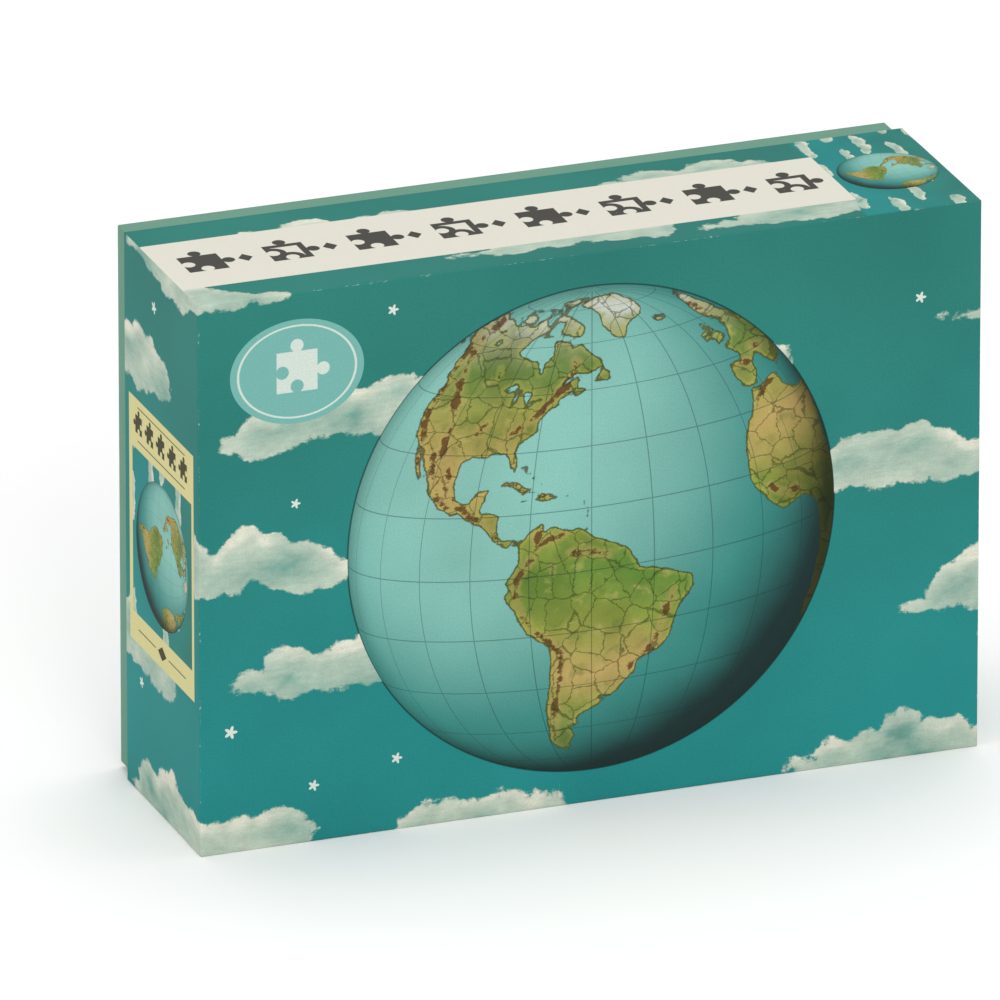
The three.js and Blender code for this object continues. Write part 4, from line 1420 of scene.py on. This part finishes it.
def scatter(seed):
    """A repeatable number from 0 to 1 for each seed, as in the part."""
    value = math.sin(seed * 12.9898) * 43758.5453
    return value - math.floor(value)


def knob_side(column, row, is_upright):
    return -1 if scatter(column * 7 + row * 13 + (101 if is_upright else 0)) < 0.5 else 1


def cut_line(start, end, side, steps):
    """The cut between two corners of a cell, without its last point."""
    if side == 0:
        return [start]
    along = (end - start).normalized()
    across = Vector((-along.y, along.x)) * side
    middle = start.lerp(end, 0.5)

    def place(s, h):
        return middle + along * s + across * h

    points = [start, place(-SHOULDER_HALF_WIDTH, -SHOULDER_DIP)]
    points.append(place(-NECK_HALF_WIDTH, NECK_REACH))
    for step in range(steps + 1):
        angle = math.radians(KNOB_START + (KNOB_END - KNOB_START) * step / steps)
        points.append(place(KNOB_RADIUS * math.cos(angle), KNOB_REACH + KNOB_RADIUS * math.sin(angle)))
    points.append(place(NECK_HALF_WIDTH, NECK_REACH))
    points.append(place(SHOULDER_HALF_WIDTH, -SHOULDER_DIP))
    return points


def piece_outline(column, row, steps):
    """A piece's outline about its cell's centre, counter-clockwise, as an array."""

    def corner(x, y):
        return Vector((x * CELL_WIDTH / 2, y * CELL_HEIGHT / 2))

    below = 0 if row == 0 else knob_side(column, row, False)
    above = 0 if row == ROWS - 1 else knob_side(column, row + 1, False)
    left = 0 if column == 0 else knob_side(column, row, True)
    right = 0 if column == COLUMNS - 1 else knob_side(column + 1, row, True)
    points = [
        *cut_line(corner(-1, -1), corner(1, -1), below, steps),
        *cut_line(corner(1, -1), corner(1, 1), -right, steps),
        *cut_line(corner(1, 1), corner(-1, 1), -above, steps),
        *cut_line(corner(-1, 1), corner(-1, -1), left, steps),
    ]
    return np.array([tuple(point) for point in points])


def pulled_in(outline, amount):
    """An outline moved inwards, square to its own run."""
    tangent = np.roll(outline, -1, axis=0) - np.roll(outline, 1, axis=0)
    tangent /= np.linalg.norm(tangent, axis=1, keepdims=True)
    return outline + np.stack([-tangent[:, 1], tangent[:, 0]], -1) * amount


# How far in and how high each ring of a piece's side is: square below, pressed round above.
FINE_RINGS = ((0.22, 0.0), (0.08, 0.1), (0.075, 1.45), (0.14, 1.72), (0.3, 1.86), (0.5, 1.9))
PLAIN_RINGS = ((0.12, 0.0), (0.08, 1.6), (0.35, 1.9))
PRESSED_BANDS = 2  # the uppermost bands between a fine piece's rings, which the print covers
FINE_KNOB_STEPS, PLAIN_KNOB_STEPS = 12, 6


class PieceBatch:
    """Collects jigsaw pieces into one mesh with printed tops."""

    def __init__(self):
        self.points, self.faces, self.is_top, self.art, self.sheet = [], [], [], [], []
        self.count = 0

    def add(self, column, row, place, steps=FINE_KNOB_STEPS, rings=FINE_RINGS):
        """Adds a piece; place is a 4x4 matrix in millimetres. Print covers its top, and on a finely
        made piece the pressed edge too."""
        outline = piece_outline(column, row, steps)
        size = len(outline)
        turn = np.array(place.to_3x3())
        shift = np.array(place.translation)
        for inset, height in rings:
            ring = pulled_in(outline, inset)
            level_ring = np.column_stack([ring, np.full(size, height)])
            self.points.append(level_ring @ turn.T + shift)
            art = (ring / (CELL_WIDTH, CELL_HEIGHT) + 0.5 + (column, row)) / (COLUMNS, ROWS)
            self.art.append(art * (PANEL_WIDTH, PANEL_HEIGHT))
            self.sheet.append(ring + (column * CELL_WIDTH, row * CELL_HEIGHT))
        start = self.count
        is_fine = rings is FINE_RINGS
        for level in range(len(rings) - 1):
            low, high = start + level * size, start + (level + 1) * size
            for i in range(size):
                j = (i + 1) % size
                self.faces.append((low + i, low + j, high + j, high + i))
                self.is_top.append(is_fine and level >= len(rings) - 1 - PRESSED_BANDS)
        self.faces.append(tuple(range(start + size - 1, start - 1, -1)))
        self.is_top.append(False)
        top = start + (len(rings) - 1) * size
        self.faces.append(tuple(range(top, top + size)))
        self.is_top.append(True)
        self.count += size * len(rings)

    def build(self, name):
        obj = make_object(name, np.concatenate(self.points), self.faces)
        art, sheet = np.concatenate(self.art), np.concatenate(self.sheet)
        fields = plain_fields(art[:, 0], art[:, 1], sheet[:, 0], sheet[:, 1], 0)
        store_print(obj, fields, np.concatenate([np.array(face) for face in self.faces]))
        obj.data.materials.append(PIECE_BOARD)
        obj.data.materials.append(PRINT)
        obj.data.polygons.foreach_set("material_index", [int(top) for top in self.is_top])
        shade_smooth(obj, angle=50)
        return obj


def piece_board_material():
    """Blue-grey puzzle board: the cut edge and the plain back."""
    s = Shader("blue_grey_board", Roughness=0.85, Specular_IOR_Level=0.2)
    place = object_millimetres(s)
    fibre = s.noise(place, 0.5, 5.0, 0.7)
    cloudy = s.noise(place, 9.0, 3.0)
    colour = s.mottled(cloudy, (142, 152, 156), (158, 166, 168))
    s.bump(fibre, 0.00006, 0.5)
    return s.finish(s.brighten(colour, 1.0 + fibre * 0.45), 0.84 + fibre * 0.15)


PIECE_BOARD = piece_board_material()


def turned_place(x, y, z, angles):
    return Matrix.Translation((x, y, z)) @ Euler(angles, "XYZ").to_matrix().to_4x4()


def make_clump():
    """The pieces that are still joined. The second of them lifts out."""
    clump = turned_place(0, MIDDLE_Y, FIRST_LAYER_HEIGHT + LAYER_RISE, (0, CLUMP_TILT, CLUMP_TURN))
    count = 0
    for row in range(CLUMP_ROWS):
        for column in range(CLUMP_COLUMNS):
            count += 1
            x = (column - (CLUMP_COLUMNS - 1) / 2) * CELL_WIDTH
            y = (row - (CLUMP_ROWS - 1) / 2) * CELL_HEIGHT
            batch = PieceBatch()
            place = clump @ Matrix.Translation((x, y, 0))
            batch.add(CLUMP_COLUMN + column, CLUMP_ROW + row, place)
            piece = batch.build(f"joined_piece_{count}")
            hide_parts(f"piece_joined_{count}")
            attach(piece, "joined_piece" if count == 2 else "bag")


def loose_places():
    """Where the loose pieces lie, in layers that leave room for the clump."""
    places = []
    for layer in range(LAYERS):
        for row in range(LAYER_ROWS):
            for column in range(LAYER_COLUMNS):
                under_clump = layer > 0 and column in CLUMP_PLACES
                is_empty = layer == LAYERS - 1 and column not in THIRD_LAYER_PLACES
                if not under_clump and not is_empty:
                    places.append((
                        (column - (LAYER_COLUMNS - 1) / 2) * PLACE_SPACING[0],
                        MIDDLE_Y + (row - (LAYER_ROWS - 1) / 2) * PLACE_SPACING[1],
                        FIRST_LAYER_HEIGHT + layer * LAYER_RISE,
                    ))
    return places


def loose_cell(index):
    column = math.floor(scatter(index + COLUMN_SEED) * COLUMNS)
    return column, math.floor(scatter(index + ROW_SEED) * ROWS)


def make_loose_pieces():
    for index, (x, y, z) in enumerate(loose_places()):
        column, row = loose_cell(index)
        tilts = [math.radians((2 * scatter(index + seed) - 1) * MAX_TILT) for seed in TILT_SEEDS]
        angles = (*tilts, scatter(index + TURN_SEED) * 2 * math.pi)
        batch = PieceBatch()
        batch.add(column, row, turned_place(x, y, z, angles))
        piece = batch.build(f"loose_piece_{index + 1:02d}")
        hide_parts(f"piece_loose_{index + 1:02d}")
        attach(piece, "bag")


PILE_CELL = 2.0  # spacing of the height map that the pile is dropped on
PILE_GAP = 1.2  # between the pile and the film
PILE_KNOBS = 1.5  # what the knobs add to each side of a piece on the height map
PILE_TRIES = 16
PILE_MAX_SLOPE = 0.4
PILE_SINK = 60  # in percent: a piece sinks until this share of what is under it is below it
PILE_SETTLE = 0.87  # share of its thickness that each piece adds, as the pile is shaken down
PILE_TURNED_OVER = 0.45  # share of the pieces that lie face down
PILE_SEED, SHUFFLE_SEED = 11, 5
PIECES_PER_GROUP = 96


def piece_reach(turn):
    """How far a flat piece reaches along x from its centre, knobs and all, when it is turned."""
    c, s = abs(math.cos(turn)), abs(math.sin(turn))
    knob = KNOB_REACH + KNOB_RADIUS
    half_width, half_height = CELL_WIDTH / 2, CELL_HEIGHT / 2
    return max((half_width + knob) * c, (half_height + knob) * s, half_width * c + half_height * s)


def pile_places():
    """Where the pieces of the pile lie. Each is dropped, with a turn, on the lowest of a few places
    and tilts to what is under it."""
    chance = np.random.default_rng(PILE_SEED)
    low, high = BAG_LOW + PILE_GAP, BAG_HIGH - PILE_GAP
    xs = np.arange(low[0], high[0], PILE_CELL)
    ys = np.arange(low[1], high[1], PILE_CELL)
    x_grid, y_grid = np.meshgrid(xs, ys, indexing="ij")
    heights = np.full(x_grid.shape, low[2])
    half_width, half_height = CELL_WIDTH / 2 + PILE_KNOBS, CELL_HEIGHT / 2 + PILE_KNOBS
    places = []
    for _ in range(COLUMNS * ROWS - CLUMP_COLUMNS * CLUMP_ROWS - len(loose_places())):
        best = None
        for _ in range(PILE_TRIES):
            turn = chance.uniform(0, 2 * math.pi)
            room_x, room_y = piece_reach(turn), piece_reach(turn + math.pi / 2)
            x = chance.uniform(low[0] + room_x, high[0] - room_x)
            y = chance.uniform(low[1] + room_y, high[1] - room_y)
            u = (x_grid - x) * math.cos(turn) + (y_grid - y) * math.sin(turn)
            v = (y_grid - y) * math.cos(turn) - (x_grid - x) * math.sin(turn)
            under = (abs(u) < half_width) & (abs(v) < half_height)
            level = np.percentile(heights[under], PILE_SINK)
            if best is None or level < best[0]:
                best = (level, x, y, turn, under)
        _, x, y, turn, under = best
        dx, dy, ground = x_grid[under] - x, y_grid[under] - y, heights[under]
        design = np.column_stack([dx, dy, np.ones(len(dx))])
        slope_x, slope_y, _ = np.linalg.lstsq(design, ground, rcond=None)[0]
        slope_x, slope_y = np.clip([slope_x, slope_y], -PILE_MAX_SLOPE, PILE_MAX_SLOPE)
        lift = np.percentile(ground - slope_x * dx - slope_y * dy, PILE_SINK)
        top = lift + slope_x * dx + slope_y * dy + PIECE_THICKNESS * PILE_SETTLE
        heights[under] = np.maximum(heights[under], top)
        normal = Vector((-slope_x, -slope_y, 1)).normalized()
        tilt = Vector((0, 0, 1)).rotation_difference(normal).to_matrix().to_4x4()
        is_over = chance.random() < PILE_TURNED_OVER
        flip = Matrix.Rotation(math.pi, 4, "X") if is_over else Matrix.Identity(4)
        to_middle = Matrix.Translation((0, 0, PIECE_THICKNESS / 2))
        lay = to_middle @ flip @ to_middle.inverted()
        spin = Matrix.Rotation(turn, 4, "Z")
        places.append(Matrix.Translation((x, y, lift)) @ tilt @ spin @ lay)
    return places


def make_pile():
    """The rest of the 1,000 pieces, as real pieces in groups that each ride on the bag."""
    used = {(CLUMP_COLUMN + c, CLUMP_ROW + r) for c in range(CLUMP_COLUMNS) for r in range(CLUMP_ROWS)}
    used |= {loose_cell(index) for index in range(len(loose_places()))}
    cells = [(column, row) for row in range(ROWS) for column in range(COLUMNS)]
    cells = [cell for cell in cells if cell not in used]
    np.random.default_rng(SHUFFLE_SEED).shuffle(cells)
    places = pile_places()
    for group, start in enumerate(range(0, len(places), PIECES_PER_GROUP)):
        batch = PieceBatch()
        for index in range(start, min(start + PIECES_PER_GROUP, len(places))):
            column, row = (int(number) for number in cells[index])
            batch.add(column, row, places[index], PLAIN_KNOB_STEPS, PLAIN_RINGS)
        pile = batch.build(f"pile_pieces_{group + 1:02d}")
        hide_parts("piece_pile")
        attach(pile, "bag")


make_clump()
make_loose_pieces()
make_pile()


# ---- Floor, lights and camera ---------------------------------------------------------------

CAMERA_AZIMUTH = math.radians(-20.52)
CAMERA_ELEVATION = math.radians(21.74)
CAMERA_DISTANCE = 7.457
CAMERA_SLIDE = (0.01692, 0.00298)
LENS, SENSOR_WIDTH = 845.1, 36
CLIP_START, CLIP_END = 0.05, 60
FLOOR_HALF_SIZE = 6000
FLOOR_COLOUR = (0.93, 0.93, 0.925, 1.0)
SKY_STRENGTH = 0.8
AIM = Vector((0, 0, 0.09))  # what the lights point at, in metres
LIGHTS = (  # name, place and size in metres, power in watts
    ("key_light", (-0.3, -3.0, 1.9), 1.6, 33),
    ("top_light", (0.2, 0.4, 2.8), 1.8, 19),
    ("side_light", (-3.0, -0.4, 1.2), 1.2, 12),
)


def make_camera():
    """A long lens in front of the lid, a little to its left and above."""
    a, e = CAMERA_AZIMUTH, CAMERA_ELEVATION
    back = Vector((math.sin(a) * math.cos(e), -math.cos(a) * math.cos(e), math.sin(e)))
    right = Vector((math.cos(a), math.sin(a), 0))
    up = back.cross(right)
    middle = Vector(((LID_LOW + LID_HIGH) / 2 * MM).tolist())
    camera = bpy.data.objects.new("camera", bpy.data.cameras.new("camera"))
    camera.data.lens = LENS
    camera.data.sensor_width = SENSOR_WIDTH
    camera.data.clip_start, camera.data.clip_end = CLIP_START, CLIP_END
    slide = right * CAMERA_SLIDE[0] + up * CAMERA_SLIDE[1]
    camera.location = middle + back * CAMERA_DISTANCE - slide
    camera.rotation_mode = "QUATERNION"
    camera.rotation_quaternion = (-back).to_track_quat("-Z", "Y")
    bpy.context.scene.collection.objects.link(camera)
    bpy.context.scene.camera = camera


def make_floor():
    signs = ((-1, -1), (1, -1), (1, 1), (-1, 1))
    corners = [(x * FLOOR_HALF_SIZE, y * FLOOR_HALF_SIZE, 0) for x, y in signs]
    floor = make_object("floor", corners, [(0, 1, 2, 3)])
    s = Shader("pale_floor", Roughness=0.8)
    floor.data.materials.append(s.finish(FLOOR_COLOUR))


def make_light(name, place, size, power):
    light = bpy.data.lights.new(name, "AREA")
    light.shape = "DISK"
    light.size = size
    light.energy = power
    lamp = bpy.data.objects.new(name, light)
    lamp.location = place
    lamp.rotation_mode = "QUATERNION"
    lamp.rotation_quaternion = (AIM - Vector(place)).to_track_quat("-Z", "Y")
    bpy.context.scene.collection.objects.link(lamp)


def make_studio():
    world = bpy.data.worlds.new("studio")
    bpy.context.scene.world = world
    world.use_nodes = True
    sky = world.node_tree.nodes["Background"]
    sky.inputs["Color"].default_value = (1, 1, 1, 1)
    sky.inputs["Strength"].default_value = SKY_STRENGTH
    for light in LIGHTS:
        make_light(*light)
    bpy.context.scene.view_settings.view_transform = "Standard"


make_camera()
make_floor()
make_studio()
